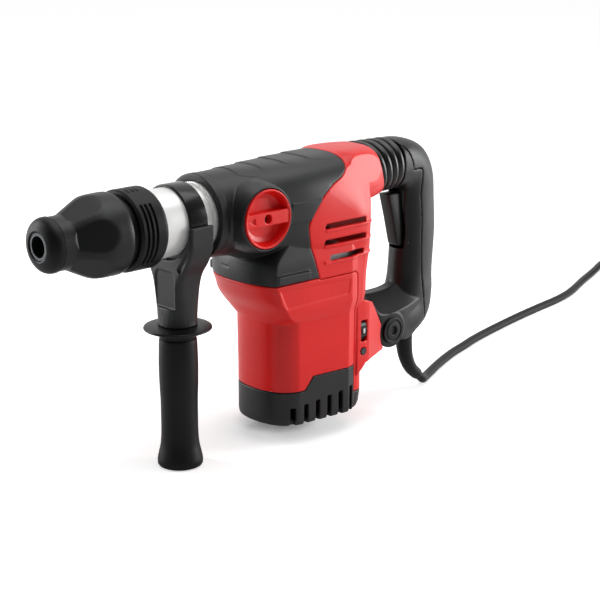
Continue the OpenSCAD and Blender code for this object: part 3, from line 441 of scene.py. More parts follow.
def moulded(obj: Obj, voxel: float, rounds: int = 6, keep: float = 0.35) -> Obj:
    """Gives a carved solid the soft edges of a moulding.

    Args:
        obj: The solid.
        voxel: Grid size in millimetres; edges come out with about this radius.
        rounds: Smoothing rounds.
        keep: Share of the faces that stay.

    Returns:
        The changed object.
    """
    step = obj.modifiers.new("grid", "REMESH")
    step.mode, step.voxel_size = "VOXEL", voxel * MM * 1
    step = obj.modifiers.new("soft", "SMOOTH")
    step.factor, step.iterations = 0.5, rounds
    if keep < 1:
        step = obj.modifiers.new("thin", "DECIMATE")
        step.ratio = keep
    return bake(obj)


def edged(obj: Obj, width: float, steps: int = 3, angle: float = 30) -> Obj:
    """Rounds the sharp edges of a simple solid.

    Args:
        obj: The solid.
        width: Width of the round in millimetres.
        steps: Strips in the round.
        angle: Edges sharper than this, in degrees, are rounded.

    Returns:
        The changed object.
    """
    step = obj.modifiers.new("edge", "BEVEL")
    step.width, step.segments, step.limit_method = width * MM, steps, "ANGLE"
    step.angle_limit = math.radians(angle)
    return bake(obj)


# Finishes


def linear(colour: str, alpha: float = 1.0) -> tuple[float, float, float, float]:
    """An sRGB hex colour as linear values.

    Args:
        colour: Such as #e21a17.
        alpha: Its opacity.

    Returns:
        Red, green, blue and alpha.
    """
    parts = [int(colour[i:i + 2], 16) / 255 for i in (1, 3, 5)]
    r, g, b = (v / 12.92 if v <= 0.04045 else ((v + 0.055) / 1.055) ** 2.4 for v in parts)
    return (r, g, b, alpha)


def add_node(tree: bpy.types.NodeTree, kind: str, links: dict[str | int, Socket] | None = None,
             inputs: dict[str | int, object] | None = None, **settings: object) -> bpy.types.Node:
    """Adds a node.

    Args:
        tree: The material's node tree.
        kind: The node's type.
        links: Sockets to link to its inputs, by the input's name or number.
        inputs: Values for its inputs, by the input's name or number.
        settings: Values for its own properties.

    Returns:
        The node.
    """
    node = tree.nodes.new(kind)
    for key, value in settings.items():
        setattr(node, key, value)
    for key, value in (inputs or {}).items():
        node.inputs[key].default_value = value
    for key, socket in (links or {}).items():
        tree.links.new(socket, node.inputs[key])
    return node


@dataclass(frozen=True)
class Finish:
    """One real material and how its surface was made.

    The grain is the mould's or the machining's own pattern, cloud the slow change of tone over a
    hand's breadth, and both sizes are millimetres on the object.
    """

    name: str
    colour: str
    tone: str
    roughness: float
    slot: str
    metallic: float = 0.0
    ior: float = 1.5
    grain: float = 0.9
    relief: float = 0.05
    stretch: Point3 = (1.0, 1.0, 1.0)
    cloud: float = 60.0
    rough_span: float = 0.08
    specular: float = 0.5

    def material(self) -> bpy.types.Material:
        """The finish as a material, made once and then shared.

        Returns:
            The material.
        """
        found = bpy.data.materials.get(self.name)
        if found:
            return found
        material = bpy.data.materials.new(self.name)
        material.use_nodes = True
        tree = material.node_tree
        tree.nodes.clear()
        place = add_node(tree, "ShaderNodeTexCoord")
        scaled = add_node(tree, "ShaderNodeMapping", {"Vector": place.outputs["Object"]},
                          {"Scale": self.stretch})
        grain = add_node(tree, "ShaderNodeTexNoise", {"Vector": scaled.outputs["Vector"]},
                         {"Scale": 1 / (self.grain * MM), "Detail": 2.0, "Roughness": 0.6})
        cloud = add_node(tree, "ShaderNodeTexNoise", {"Vector": scaled.outputs["Vector"]},
                         {"Scale": 1 / (self.cloud * MM), "Detail": 3.0, "Roughness": 0.55})
        tint = add_node(tree, "ShaderNodeValToRGB", {"Fac": cloud.outputs["Fac"]})
        low, high = tint.color_ramp.elements
        low.position, low.color = 0.35, linear(self.colour)
        high.position, high.color = 0.65, linear(self.tone)
        rough = add_node(tree, "ShaderNodeMapRange", {"Value": grain.outputs["Fac"]},
                         {"To Min": max(0.02, self.roughness - self.rough_span),
                          "To Max": min(1.0, self.roughness + self.rough_span)})
        bump = add_node(tree, "ShaderNodeBump", {"Height": grain.outputs["Fac"]},
                        {"Strength": 0.35, "Distance": self.relief * MM})
        shader = add_node(
            tree, "ShaderNodeBsdfPrincipled",
            {"Base Color": tint.outputs["Color"], "Roughness": rough.outputs["Result"],
             "Normal": bump.outputs["Normal"]},
            {"Metallic": self.metallic, "IOR": self.ior, "Specular IOR Level": self.specular})
        add_node(tree, "ShaderNodeOutputMaterial", {"Surface": shader.outputs["BSDF"]})
        return material


# Moulded ABS: bright, a fine spark-eroded grain that spreads the highlights
RED = Finish("abs_red_moulded", "#e21a17", "#db1815", 0.34, "red_plastic", grain=0.7,
             relief=0.03, ior=1.53, specular=0.3)
# Glass-filled nylon: dark grey, drier grain, pale soft highlights on top faces
CHARCOAL = Finish("nylon_charcoal_moulded", "#17181a", "#1c1d1e", 0.42, "charcoal_plastic",
                  grain=0.9, relief=0.05, specular=0.36)
# The same nylon in the handle's front frame, a shade darker
BLACK = Finish("nylon_black_moulded", "#0d0e0f", "#121313", 0.40, "black_plastic", grain=0.8,
               relief=0.05, specular=0.28)
# Smooth acetal of the strap and the speed dial: darker and glossier
GLOSSY = Finish("acetal_black_polished", "#0a0b0b", "#0e0f0f", 0.20, "black_plastic", grain=1.2,
                relief=0.01, specular=0.3)
# Moulded rubber: nearly black and matt, with wide dim highlights
RUBBER = Finish("rubber_black_moulded", "#0b0b0b", "#0f1010", 0.46, "black_rubber", grain=0.6,
                relief=0.04, specular=0.2)
# Folded rubber of the bellows: wiped clean, so glossier
BELLOWS = Finish("rubber_black_bellows", "#0b0c0c", "#101111", 0.32, "black_rubber", grain=0.9,
                 relief=0.02)
# Turned and lacquered aluminium: pale, with fine rings drawn coarser than life so that they show
COLLAR = Finish("aluminium_turned_lacquered", "#f0f0ee", "#e8e8e6", 0.36, "polished_collar",
                metallic=0.3, grain=1.4, relief=0.01, stretch=(3.0, 0.05, 0.05))
# Ground steel: mid grey, tight highlights
STEEL = Finish("steel_ground", "#a9adb0", "#9a9ea2", 0.30, "machined_steel", metallic=1.0,
               grain=0.8, relief=0.01)
# Hardened steel, blackened and oiled: darker, with soft highlights
OILED = Finish("steel_hardened_oiled", "#5a5d60", "#4f5255", 0.42, "machined_steel", metallic=1.0,
               grain=0.8, relief=0.01)
# Die-cast aluminium: pale grey, sand-like
CAST = Finish("aluminium_die_cast", "#b9bcbd", "#a6a9ab", 0.55, "cast_metal", metallic=0.9,
              grain=1.5, relief=0.06)
# Enamelled copper wire: warm, with the coil's turns as fine rings
COPPER = Finish("copper_enamelled", "#b36a3a", "#9c5428", 0.35, "copper", metallic=1.0, grain=0.9,
                relief=0.05, stretch=(1.0, 1.0, 4.0))
# Pressed carbon: black and dull
CARBON = Finish("carbon_pressed", "#1b1c1e", "#232427", 0.62, "carbon", grain=0.5)
# Solder-masked circuit board: flat green with a low gloss
BOARD = Finish("circuit_board_masked", "#3c5a3c", "#34502f", 0.40, "board", grain=2.0, relief=0.02)
# Clear polycarbonate over a dark ground: reads as a dim lens
LENS = Finish("polycarbonate_clear", "#2b2d2f", "#333639", 0.12, "lens", ior=1.58, grain=3.0,
              relief=0.0)
# Printed ink of the dial's mark: pale grey and dull
MARK = Finish("ink_pale_printed", "#c9cbcb", "#bfc1c1", 0.5, "black_plastic", grain=1.0, relief=0.0)


def finished(obj: Obj, finish: Finish, sharp: float) -> None:
    """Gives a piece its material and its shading.

    Args:
        obj: The piece.
        finish: Its material.
        sharp: Edges sharper than this, in degrees, are shaded as edges.
    """
    obj.data.materials.clear()
    obj.data.materials.append(finish.material())
    if obj.type == "MESH":
        obj.data.shade_smooth()
        obj.data.set_sharp_from_angle(angle=math.radians(sharp))


def dress(obj: Obj, finish: Finish, body: str, *nodes: str, sharp: float = 40) -> Obj:
    """Finishes a piece and hangs it on its body.

    Args:
        obj: The piece.
        finish: Its material.
        body: The body that it moves with.
        nodes: CAD nodes that it stands for.
        sharp: Edges sharper than this, in degrees, are shaded as edges.

    Returns:
        The piece.
    """
    finished(obj, finish, sharp)
    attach(obj, body)
    if nodes:
        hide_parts(*nodes)
    log.info("%s on %s, %s", obj.name, body, finish.name)
    return obj


def bend(obj: Obj, finish: Finish, node: str, sharp: float) -> None:
    """Finishes a soft piece that lies between the housing and the rear handle.

    Args:
        obj: The piece.
        finish: Its material.
        node: CAD node that it stands for.
        sharp: Edges sharper than this, in degrees, are shaded as edges.
    """
    finished(obj, finish, sharp)
    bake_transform(obj)
    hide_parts(node)
    log.info("%s between housing and rear_handle, %s", obj.name, finish.name)


# Studio and cord


@dataclass
class Studio:
    """The photograph's camera, a white floor with real and painted shadow, and soft lamps."""

    lens: float = 100.56
    sensor: float = 36.0
    eye: Point3 = (1014.25, 1102.22, 524.87)
    back: Point3 = (0.6573, 0.7037, 0.2696)
    shift: Point2 = (-0.00097, -0.00015)
    floor_r: float = 40000.0
    # Share of the ramp's reach from the middle of the painted shadow, and the floor's own glow
    # there;
    # the glow is near 0 in the middle, which paints a shadow round the base. The shader reads
    # metres, so the reach, the painted shadow's middle and behind_floor are in metres
    glow_and_painted_shadow: tuple[Point2, ...] = (
        (0.020, 0.0), (0.025, 0.14), (0.031, 0.36), (0.045, 0.46), (0.15, 0.56), (1.0, 0.84))
    glow_and_painted_shadow_r: float = 1.5
    painted_shadow_at: Point3 = (-0.010, -0.030, 0.0)
    sky: float = 0.16
    # How far behind the object the mirror rays see floor and sky in full; the sky's is a direction
    behind_floor: float = 0.6
    behind_sky: float = 0.5
    clip: float = 200.0
    # Name, place, size and watts of each lamp, and what they all point at
    lamps: tuple[tuple[str, Point3, Point2, float], ...] = (
        ("top", (-150, 150, 1500), (1300, 1300), 15.0),
        ("right", (-1500, 900, 420), (800, 1000), 26.0),
        ("left_rim", (900, -1300, 500), (300, 1200), 16.0))
    aim: Point3 = (20.0, 0.0, 130.0)

    def camera(self) -> None:
        """Sets the scene's camera where the photograph was taken from."""
        data = bpy.data.cameras.new("camera")
        data.lens, data.sensor_width, data.sensor_fit = self.lens, self.sensor, "HORIZONTAL"
        data.shift_x, data.shift_y = self.shift
        data.clip_end = self.clip
        z = Vector(self.back).normalized()
        x = Vector((0, 0, 1)).cross(z).normalized()
        obj = bpy.data.objects.new("camera", data)
        turn = Matrix((x, z.cross(x), z)).transposed().to_4x4()
        obj.matrix_world = Matrix.Translation(Vector(self.eye) * MM) @ turn
        bpy.context.scene.collection.objects.link(obj)
        bpy.context.scene.camera = obj

    @staticmethod
    def seen(tree: bpy.types.NodeTree, share: Socket) -> Socket:
        """Adds nodes that are 1 where a camera, mirror or glass ray looks at the background.

        Args:
            tree: The node tree to add them to.
            share: How much of the background the mirror and glass rays meet.

        Returns:
            The socket that holds the value.
        """
        path = add_node(tree, "ShaderNodeLightPath").outputs
        total = path["Is Camera Ray"]
        for kind in ("Is Glossy Ray", "Is Transmission Ray"):
            times = add_node(tree, "ShaderNodeMath", {0: path[kind], 1: share},
                             operation="MULTIPLY")
            both = add_node(tree, "ShaderNodeMath", {0: total, 1: times.outputs["Value"]},
                            operation="MAXIMUM")
            total = both.outputs["Value"]
        return total

    def behind(self, tree: bpy.types.NodeTree, place: Socket, full: float) -> Socket:
        """Adds nodes that go from 0 to 1 on the far side of the object.

        Args:
            tree: The node tree to add them to.
            place: Position or direction.
            full: Distance away from the camera's side at which the value is 1.

        Returns:
            The socket that holds the value.
        """
        away = add_node(tree, "ShaderNodeVectorMath", {0: place},
                        {1: (-self.back[0], -self.back[1], 0)}, operation="DOT_PRODUCT")
        share = add_node(tree, "ShaderNodeMapRange", {"Value": away.outputs["Value"]},
                         {"From Max": full})
        return share.outputs["Result"]

    def floor(self) -> None:
        """Lays the floor: matt white, lifted to full white where seen, with a painted shadow at the
        base.
        """
        corners = [(x * self.floor_r, y * self.floor_r, FLOOR_Z)
                   for x, y in ((-1, -1), (1, -1), (1, 1), (-1, 1))]
        obj = mesh_object("floor", corners, [[0, 1, 2, 3]])
        material = bpy.data.materials.new("paper_white_glow_painted_shadow")
        material.use_nodes = True
        tree = material.node_tree
        tree.nodes.clear()
        matt = add_node(tree, "ShaderNodeBsdfDiffuse", inputs={"Color": linear("#eeeeee")})
        place = add_node(tree, "ShaderNodeTexCoord")
        off = add_node(tree, "ShaderNodeVectorMath", {0: place.outputs["Object"]},
                       {1: self.painted_shadow_at}, operation="SUBTRACT")
        away = add_node(tree, "ShaderNodeVectorMath", {0: off.outputs["Vector"]},
                        operation="LENGTH")
        share = add_node(tree, "ShaderNodeMath", {0: away.outputs["Value"]}, {1: self.glow_and_painted_shadow_r},
                         operation="DIVIDE")
        level = add_node(tree, "ShaderNodeValToRGB", {"Fac": share.outputs["Value"]})
        ramp = level.color_ramp.elements
        for i, (at, grey) in enumerate(self.glow_and_painted_shadow):
            stop = ramp[i] if i < len(ramp) else ramp.new(at)
            stop.position, stop.color = at, (grey, grey, grey, 1)
        # The glow is near 0 round the base, which paints a shadow there over the real one.
        glow_and_painted_shadow = add_node(tree, "ShaderNodeEmission", {"Strength": level.outputs["Color"]})
        lit = add_node(tree, "ShaderNodeAddShader",
                       {0: matt.outputs["BSDF"], 1: glow_and_painted_shadow.outputs["Emission"]})
        behind = self.behind(tree, place.outputs["Object"], self.behind_floor)
        mixed = add_node(tree, "ShaderNodeMixShader", {
            0: self.seen(tree, behind), 1: matt.outputs["BSDF"], 2: lit.outputs["Shader"]})
        add_node(tree, "ShaderNodeOutputMaterial", {"Surface": mixed.outputs["Shader"]})
        obj.data.materials.append(material)

    def lamp(self, name: str, place: Point3, size: Point2, watts: float) -> None:
        """Hangs a soft lamp.

        Args:
            name: Its name.
            place: Where it hangs, in millimetres.
            size: Width and height in millimetres.
            watts: Its power.
        """
        data = bpy.data.lights.new(name, "AREA")
        data.shape, data.energy = "RECTANGLE", watts
        data.size, data.size_y = size[0] * MM, size[1] * MM
        obj = bpy.data.objects.new(name, data)
        obj.location = Vector(place) * MM
        turn = (Vector(self.aim) - Vector(place)).to_track_quat("-Z", "Y")
        obj.rotation_mode, obj.rotation_quaternion = "QUATERNION", turn
        bpy.context.scene.collection.objects.link(obj)

    def light(self) -> None:
        """Hangs the lamps and sets the sky: white where it is seen, plain light otherwise."""
        for row in self.lamps:
            self.lamp(*row)
        world = bpy.data.worlds.new("studio")
        world.use_nodes = True
        tree = world.node_tree
        tree.nodes.clear()
        dim, white = (add_node(tree, "ShaderNodeBackground",
                               inputs={"Color": (1, 1, 1, 1), "Strength": strength})
                      for strength in (self.sky, 1.0))
        ray = add_node(tree, "ShaderNodeTexCoord")
        backdrop = self.behind(tree, ray.outputs["Generated"], self.behind_sky)
        mixed = add_node(tree, "ShaderNodeMixShader", {
            0: self.seen(tree, backdrop), 1: dim.outputs["Background"],
            2: white.outputs["Background"]})
        add_node(tree, "ShaderNodeOutputWorld", {"Surface": mixed.outputs["Shader"]})
        bpy.context.scene.world = world
        bpy.context.scene.view_settings.view_transform = "Standard"


@dataclass
class MainsCord:
    """Strain relief, 9 mm rubber cord along the floor, stored coil with its tie, and plug."""

    radius: float = 4.5
    route: tuple[Point3, ...] = (
        (-178.3, 0, 14.5), (-183, 0, 10.8), (-188, -2, 7.7), (-200, -10, 5), (-226, -23, 4.5),
        (-255, -36, 4.5), (-283, -47, 4.5), (-312, -56, 4.5), (-340, -65, 4.5), (-384, -76, 4.5),
        (-440, -88, 4.5), (-490, -97, 4.5), (-533, -104, 4.5), (-573, -115, 4.5), (-625, -137, 4.5),
        (-675, -157, 4.5), (-707, -171, 4.5), (-745, -184, 4.8), (-780, -190, 6), (-793, -190, 6),
        (-806, -190, 6))
    relief: tuple[Point3, ...] = (
        (-156, 0, 43), (-157, 0, 30), (-160, 0, 16), (-167, 0, 3), (-178, 0, -7))
    relief_r: float = 9.0
    relief_wall: float = 1.2
    coil_start: Point3 = (-815.0, -190.0, 6.0)
    turn_steps: int = 28
    lead: float = 9.0
    slack: float = 0.3
    layers: int = 4
    turns: float = 2.125
    coil_in: float = 39.0
    pitch: float = 9.6
    climb: float = 0.5
    tail_turns: float = 0.5
    tail_out: float = 14.4
    plug_z: float = 14.0
    tie_w: float = 14.0

    @property
    def coil_out(self) -> float:
        """Radius of the coil's outermost turn."""
        return self.coil_in + self.turns * self.pitch

    @property
    def coil_at(self) -> Vector:
        """Middle of the coil's lowest layer."""
        x, y, z = self.coil_start
        return Vector((x, y + self.coil_out, FLOOR_Z + z))

    @property
    def coil_total(self) -> float:
        """Turns from the coil's start to its tail."""
        return self.layers * self.turns + (self.layers - 1) * self.climb

    def coil_point(self, u: float) -> Vector:
        """A point of the coil, which spirals in and out through its layers.

        Args:
            u: Turns from the coil's start.

        Returns:
            The point.
        """
        wound = min(u, self.coil_total)
        layer = self.turns + self.climb
        k = min(int(wound / layer), self.layers - 1)
        v = wound - k * layer
        edge, side = (self.coil_out, -1) if k % 2 == 0 else (self.coil_in, 1)
        rise = 0 if v <= self.turns else (v - self.turns) / self.climb
        past = max(0.0, u - self.coil_total) / self.tail_turns
        r = edge + side * self.pitch * min(v, 2 * self.turns + self.climb - v)
        r += self.tail_out * min(1, 2 * past)
        z = mix(self.pitch * (k + rise), self.plug_z - self.coil_start[2], max(0.0, 2 * past - 1))
        a = math.radians(-90 - 360 * u)
        return self.coil_at + Vector((r * math.cos(a), r * math.sin(a), z))

    def points(self) -> list[Vector]:
        """The middle line of the cord.

        Returns:
            Its points, from the strain relief to the plug.
        """
        free = [Vector((x, y, z + FLOOR_Z)) for x, y, z in curve(self.route, 4)]
        end = self.coil_total + self.tail_turns
        steps = math.ceil(end * self.turn_steps)
        coil = [self.coil_point(end * i / steps) for i in range(steps + 1)]
        ahead = coil[-1] - coil[-2]
        ahead.z = 0
        return free + coil + [coil[-1] + ahead.normalized() * self.lead]

    def build(self) -> None:
        """Makes the cord and what is on it."""
        points = self.points()
        data = bpy.data.curves.new("mains_cord", "CURVE")
        data.dimensions, data.bevel_depth, data.bevel_resolution = "3D", self.radius * MM, 5
        data.use_fill_caps = True
        line = data.splines.new("POLY")
        line.points.add(len(points) - 1)
        for point, place in zip(line.points, points):
            point.co = (*(place * MM), 1.0)
        cord = bpy.data.objects.new("mains_cord", data)
        bpy.context.scene.collection.objects.link(cord)
        dress(cord, RUBBER, "housing", "power_cord", "cord_coil")
        ahead = (points[-1] - points[-2]).normalized()
        pieces = [self.plug(points[-1], ahead), self.pins(points[-1], ahead), self.tie()]
        self.sleeve()

    def plug(self, at: Vector, ahead: Vector) -> Obj:
        """The moulded plug, with a ribbed neck and a waisted body.

        Args:
            at: End of the cord.
            ahead: The cord's direction there.

        Returns:
            The piece.
        """
        across, up = ahead.cross(Vector((0, 0, 1))), Vector((0, 0, 1))
        rows = straight([(0, 5.2, 5.2, 2), (1, 5.6, 5.6, 2), (12, 7.2, 7.2, 2)], 6)
        rows = [(a, w - 0.6 * (i % 2), h - 0.6 * (i % 2), n) for i, (a, w, h, n) in enumerate(rows)]
        rows += curve([(14, 8, 7.6, 2), (19, 13, 10.5, 2.2), (25, 17.4, 12.4, 2.6),
                       (33, 16.4, 12.0, 2.6), (41, 17.6, 12.6, 2.6), (43.6, 17.2, 12.2, 2.6),
                       (44, 16, 11, 2.6)], 5)
        rings = [[tuple(at + ahead * a + across * y + up * z) for y, z in oval(w, h, -h, n, 48)]
                 for a, w, h, n in rows]
        return dress(skin("plug_body", rings), RUBBER, "housing", "mains_plug")

    def pins(self, at: Vector, ahead: Vector) -> Obj:
        """The plug's two round pins, with rounded tips.

        Args:
            at: End of the cord.
            ahead: The cord's direction there.

        Returns:
            The piece.
        """
        across, up = ahead.cross(Vector((0, 0, 1))), Vector((0, 0, 1))
        rows = [(43.5, 2.4), (60.6, 2.4), (61.8, 2.2), (62.6, 1.6), (63, 0.6)]
        apart, n = 9.5, 20
        points: list[Point3] = []
        faces: list[list[int]] = []
        for s in (-1, 1):
            base = len(points)
            for a, r in rows:
                points += [tuple(at + ahead * a + across * (apart * s + y) + up * z)
                           for y, z in oval(r, r, -r, 2, n)]
            last = len(points) - n
            faces += [[i + k, i + (k + 1) % n, i + n + (k + 1) % n, i + n + k]
                      for i in range(base, last, n) for k in range(n)]
            faces += [list(range(base, base + n)), list(range(last, last + n))]
        return dress(mesh_object("plug_contacts", points, faces), STEEL, "housing", "plug_pins")

    def tie(self) -> Obj:
        """The strap that holds the coil, rounded where it turns.

        Returns:
            The piece.
        """
        room = self.pitch / 4 + self.radius + self.slack
        low, high = self.coil_in - room, self.coil_out + room
        top = (self.layers - 1) * self.pitch + 2 * (self.radius + self.slack)
        inner = rounded([(low, 0, 3), (high, 0, 3), (high, top, 3), (low, top, 3)], True, 6)
        outer = grown(inner, 1.0)
        base = self.coil_at - Vector((0, 0, self.radius + self.slack))
        rings = [[tuple(base + Vector((x, y, z))) for x, z, y in
                  ((p[0], p[1], -self.tie_w / 2), (q[0], q[1], -self.tie_w / 2),
                   (q[0], q[1], self.tie_w / 2), (p[0], p[1], self.tie_w / 2))]
                 for p, q in zip(inner, outer)]
        return dress(skin("coil_strap", rings, looped=True), CHARCOAL, "housing", "cord_tie")

    def sleeve(self) -> None:
        """The strain relief: a tapered rubber sleeve, smooth as in the photograph."""
        path = curve(self.relief, 8)
        rings = []
        for i, place in enumerate(path):
            t = i / (len(path) - 1)
            a, b = Vector(path[max(i - 1, 0)]), Vector(path[min(i + 1, len(path) - 1)])
            ahead = (b - a).normalized()
            u = Vector((0, 1, 0))
            v = ahead.cross(u)
            r = mix(self.relief_r, self.radius + self.relief_wall, t)
            r -= max(0.0, (t - 0.94) / 0.06) ** 2
            rings.append([tuple(Vector(place) + u * (r * math.cos(w)) + v * (r * math.sin(w)))
                          for w in (2 * math.pi * k / 32 for k in range(32))])
        bend(skin("cord_sleeve", rings), RUBBER, "strain_relief", sharp=50)


# Housings


@dataclass
class Housing:
    """Gear cover, rear cover, motor housing and base cap, cut from one smooth body."""

    wall: float = 3.0
    grid: float = 0.65
    # x, half width, top, bottom, squareness
    upper: tuple[tuple[float, ...], ...] = (
        (111, 37.5, 239.5, 164.5, 2.0), (80, 39, 239.85, 162.5, 2.1), (48, 43, 240.2, 152.5, 2.5),
        (12, 47, 240.9, 142, 2.9), (-30, 48, 242.1, 128, 3.0), (-58, 47, 243, 128, 3.0),
        (-70, 34.5, 243, 130, 2.8), (-75, 26, 243, 132, 2.6))
    neck: tuple[tuple[float, ...], ...] = (
        (-15, 36, 239.5, 193, 2.5), (-40, 38.4, 241.8, 193, 3.1), (-52, 40, 242.7, 193, 3.8),
        (-74, 37, 243, 192, 3.8), (-94, 31.6, 243, 193, 3.0))
    sides: int = 96
    # Where the neck starts to lean, and the length over which that grows
    lean_x: Point2 = (-50.0, 44.0)
    # Facet cut on each shoulder at two stations: x, y at facet_z, and how y falls with height
    facet: tuple[tuple[float, ...], ...] = ((-10, 50.7, 0.52), (-120, 26.0, 0.054))
    facet_z: float = 215.0
    # How tightly the facet turns into the side, per millimetre. The side is read forward of
    # facet_end, up to a share of the section's height, and a little outside the skin
    facet_turn: float = 0.42
    facet_end: float = -58.0
    facet_share: float = 0.6
    facet_gap: float = 0.2
    # z, front, fullness of the front, corner x, corner y, side y, rear
    can: tuple[tuple[float, ...], ...] = (
        (-2.5, 43.2, 31.1, 21.6, 37.4, 41.8, 58), (-1, 44.4, 32, 22.2, 38.4, 43, 60),
        (3, 45, 32.4, 22.5, 39, 43.8, 62), (15, 45, 32.4, 22.5, 39, 43.8, 64),
        (42, 45, 32.4, 22.5, 39, 43.8, 64), (95.5, 45.5, 32.6, 23, 39.6, 44.2, 65.5))
    flare: tuple[tuple[float, ...], ...] = (
        (95.5, 45.5, 32.6, 23, 39.6, 44.2, 65.5), (100, 47.2, 31, 32, 42.2, 45.6, 65.8),
        (104, 48.6, 30, 37, 43.4, 46.8, 66), (109, 51, 30, 41.5, 44.6, 48, 66.3),
        (118, 57, 30, 48, 44.3, 48, 66.8), (128, 62, 30, 51.5, 44.15, 48, 67.2),
        (137, 66, 30, 54.5, 44, 48, 68.5), (152, 66, 30, 54.5, 44, 48, 71),
        (160, 63, 29, 50, 43, 47.5, 72), (174, 48, 27, 34, 41, 45, 72))
    # How far the sides step in at the rear seam: x and inset, and the inset at the rear corner
    tuck: tuple[Point2, ...] = ((-36, 0), (-45.5, 3.2))
    tuck_rear: float = 4.2
    rear_r: float = 16.0
    front_steps: int = 14
    seam_x: float = -46.0
    joint_h: float = 136.0
    wave: tuple[Point2, ...] = (
        (4, 136), (11, 158), (17, 180), (17, 188), (11, 198), (0, 210), (-14, 219), (-27, 224),
        (-35, 230), (-38.5, 238), (-38.5, 260))
    cap_edge: tuple[Point2, ...] = ((-46, 42), (6, 42), (16, 30), (120, 30))
    cap_rear: float = 15.0
    bore_r: float = 31.4
    vent_z: tuple[float, ...] = (180.0, 165.0, 150.0)
    vent_h: float = 5.0
    steps_x: tuple[float, ...] = (76.0, 48.5, 21.0, -7.0)
    step_l: float = 25.0
    step_h: float = 0.8
    label: tuple[tuple[float, ...], ...] = (
        (51, 132.4, 2), (-34.7, 129.2, 2), (-31.8, 115, 2), (42.5, 113.3, 2))
    label_deep: float = 0.45
    # Air slots of the base cap: count, first x, pitch, half width, first height and its growth
    slots: int = 6
    slot_x: float = 27.7
    slot_pitch: float = 13.6
    slot_w: float = 2.5
    slot_h: Point2 = (14.8, 1.6)
    # The tongue between the handle's cheeks: half width, radius, and the room round the pivot
    tongue: float = 21.3
    tongue_r: float = 15.5
    arm_r: float = 18.7

    def section(self, row: Sequence[float], inset: float) -> list[Point2]:
        """The motor housing's outline in plan: round front, flat sides, squared rear.

        Args:
            row: Height and measures, as in the field can.
            inset: Distance that the outline moves inwards.

        Returns:
            The closed outline.
        """
        _, front, full, cx, cy, side, rear = row
        half: list[Point2] = []
        for i in range(self.front_steps + 1):
            t = i / self.front_steps
            half.append((front * (1 - t) ** 2 + 2 * front * t * (1 - t) + cx * t * t,
                         2 * full * t * (1 - t) + cy * t * t))
        corner = (self.rear_r - rear, side - self.tuck_rear)
        half += straight([(cx, cy), *((x, side - by) for x, by in self.tuck), corner], 5)[1:]
        half += arc((corner[0], corner[1] - self.rear_r), self.rear_r, 90, 180, 8)[1:]
        half += straight([half[-1], (-rear - 0.6, 0)], 6)[1:]
        outline = half + [(x, -y) for x, y in reversed(half[1:-1])]
        return grown(outline, -inset) if inset else outline

    def solid(self, name: str, inset: float) -> Obj:
        """The whole body as one smooth solid.

        Args:
            name: Name of the object.
            inset: Distance that its skin moves inwards, for the hollow.

        Returns:
            The object.
        """
        e, last = inset, len(self.upper) - 1
        long = [(x - 2 * e * (i == 0) + e * (i == last), w - e, top - e, low + e, n)
                for i, (x, w, top, low, n) in enumerate(self.upper)]
        throat = [(x - e * (i == len(self.neck) - 1), w - e, top - e, low + e, n)
                  for i, (x, w, top, low, n) in enumerate(self.neck)]
        body = skin(name, [[(x, y, z) for y, z in oval(w, top, low, n, self.sides)]
                           for x, w, top, low, n in curve(long, 6)])
        start, run = self.lean_x
        throat_solid = skin("throat", [
            [(x + LEAN * max(0.0, (start - x) / run) * (z - LEAN_Z), y, z)
             for y, z in oval(w, top, low, n, self.sides)]
            for x, w, top, low, n in curve(throat, 6)])
        rows = straight(self.can, 3)[:-1] + curve(self.flare, 5)
        if inset:
            rows = [row for row in rows if row[0] >= self.wall]
        motor = skin("motor", [[(x, y, row[0]) for x, y in self.section(row, inset)]
                               for row in rows])
        carve(body, Cut.ADD, throat_solid)
        carve(body, Cut.REMOVE, *(self.shoulder(side, inset) for side in (-1, 1)))
        return carve(body, Cut.ADD, motor)

    def section_at(self, x: float) -> list[float]:
        """The upper body's section at a place.

        Args:
            x: The place.

        Returns:
            Half width, top, bottom and squareness.
        """
        rows = curve(self.upper, 6)[::-1]
        return [between([(row[0], row[k]) for row in rows], x) for k in range(1, 5)]

    def shoulder(self, side: int, inset: float) -> Obj:
        """The wedge that leaves a slightly twisted facet on a shoulder.

        Args:
            side: 1 for the left shoulder, -1 for the right one.
            inset: Distance that the body's skin has moved inwards.

        Returns:
            The cutter.
        """
        heights, outside = range(260, 163, -4), 95.0
        k = self.facet_turn
        rings = []
        for x, y, fall in straight(self.facet, 20):
            w, top, low, n = self.section_at(max(x, self.facet_end))
            cut = []
            for z in heights:
                reach = min(self.facet_share, abs(2 * z - top - low) / (top - low))
                flank = w * (1 - reach ** n) ** (1 / n) + self.facet_gap
                flat = y - fall * (z - self.facet_z)
                cut.append((-math.log(math.exp(-k * flat) + math.exp(-k * flank)) / k - inset, z))
            cut += [(outside, heights[-1]), (outside, heights[0])]
            rings.append([(x, side * y, z) for y, z in cut])
        return skin("shoulder", rings)

    def regions(self) -> dict[str, list[Point2]]:
        """Side views of the four mouldings.

        Returns:
            Their outlines in x and z.
        """
        wave, rim = curve(self.wave, 5), list(self.cap_edge)
        front, top, joint, seam = 120, 260, self.joint_h, (self.seam_x, self.cap_rear)
        corner = arc((self.seam_x + 6, joint - 7.5), 6, 90, 180, 6)
        notch = [(4, joint), (4, joint - 1.5)]
        return {
            "gear": wave + [(front + 10, top), (front + 10, joint)],
            "motor": rim + [(front, joint)] + notch + corner,
            "cap": [(-90, -5), (-90, self.cap_rear), seam] + rim + [(front, -5)],
            "rear": [(-90, self.cap_rear), seam] + corner[::-1] + notch[::-1] + wave
            + [(-150, top), (-150, self.cap_rear)]}

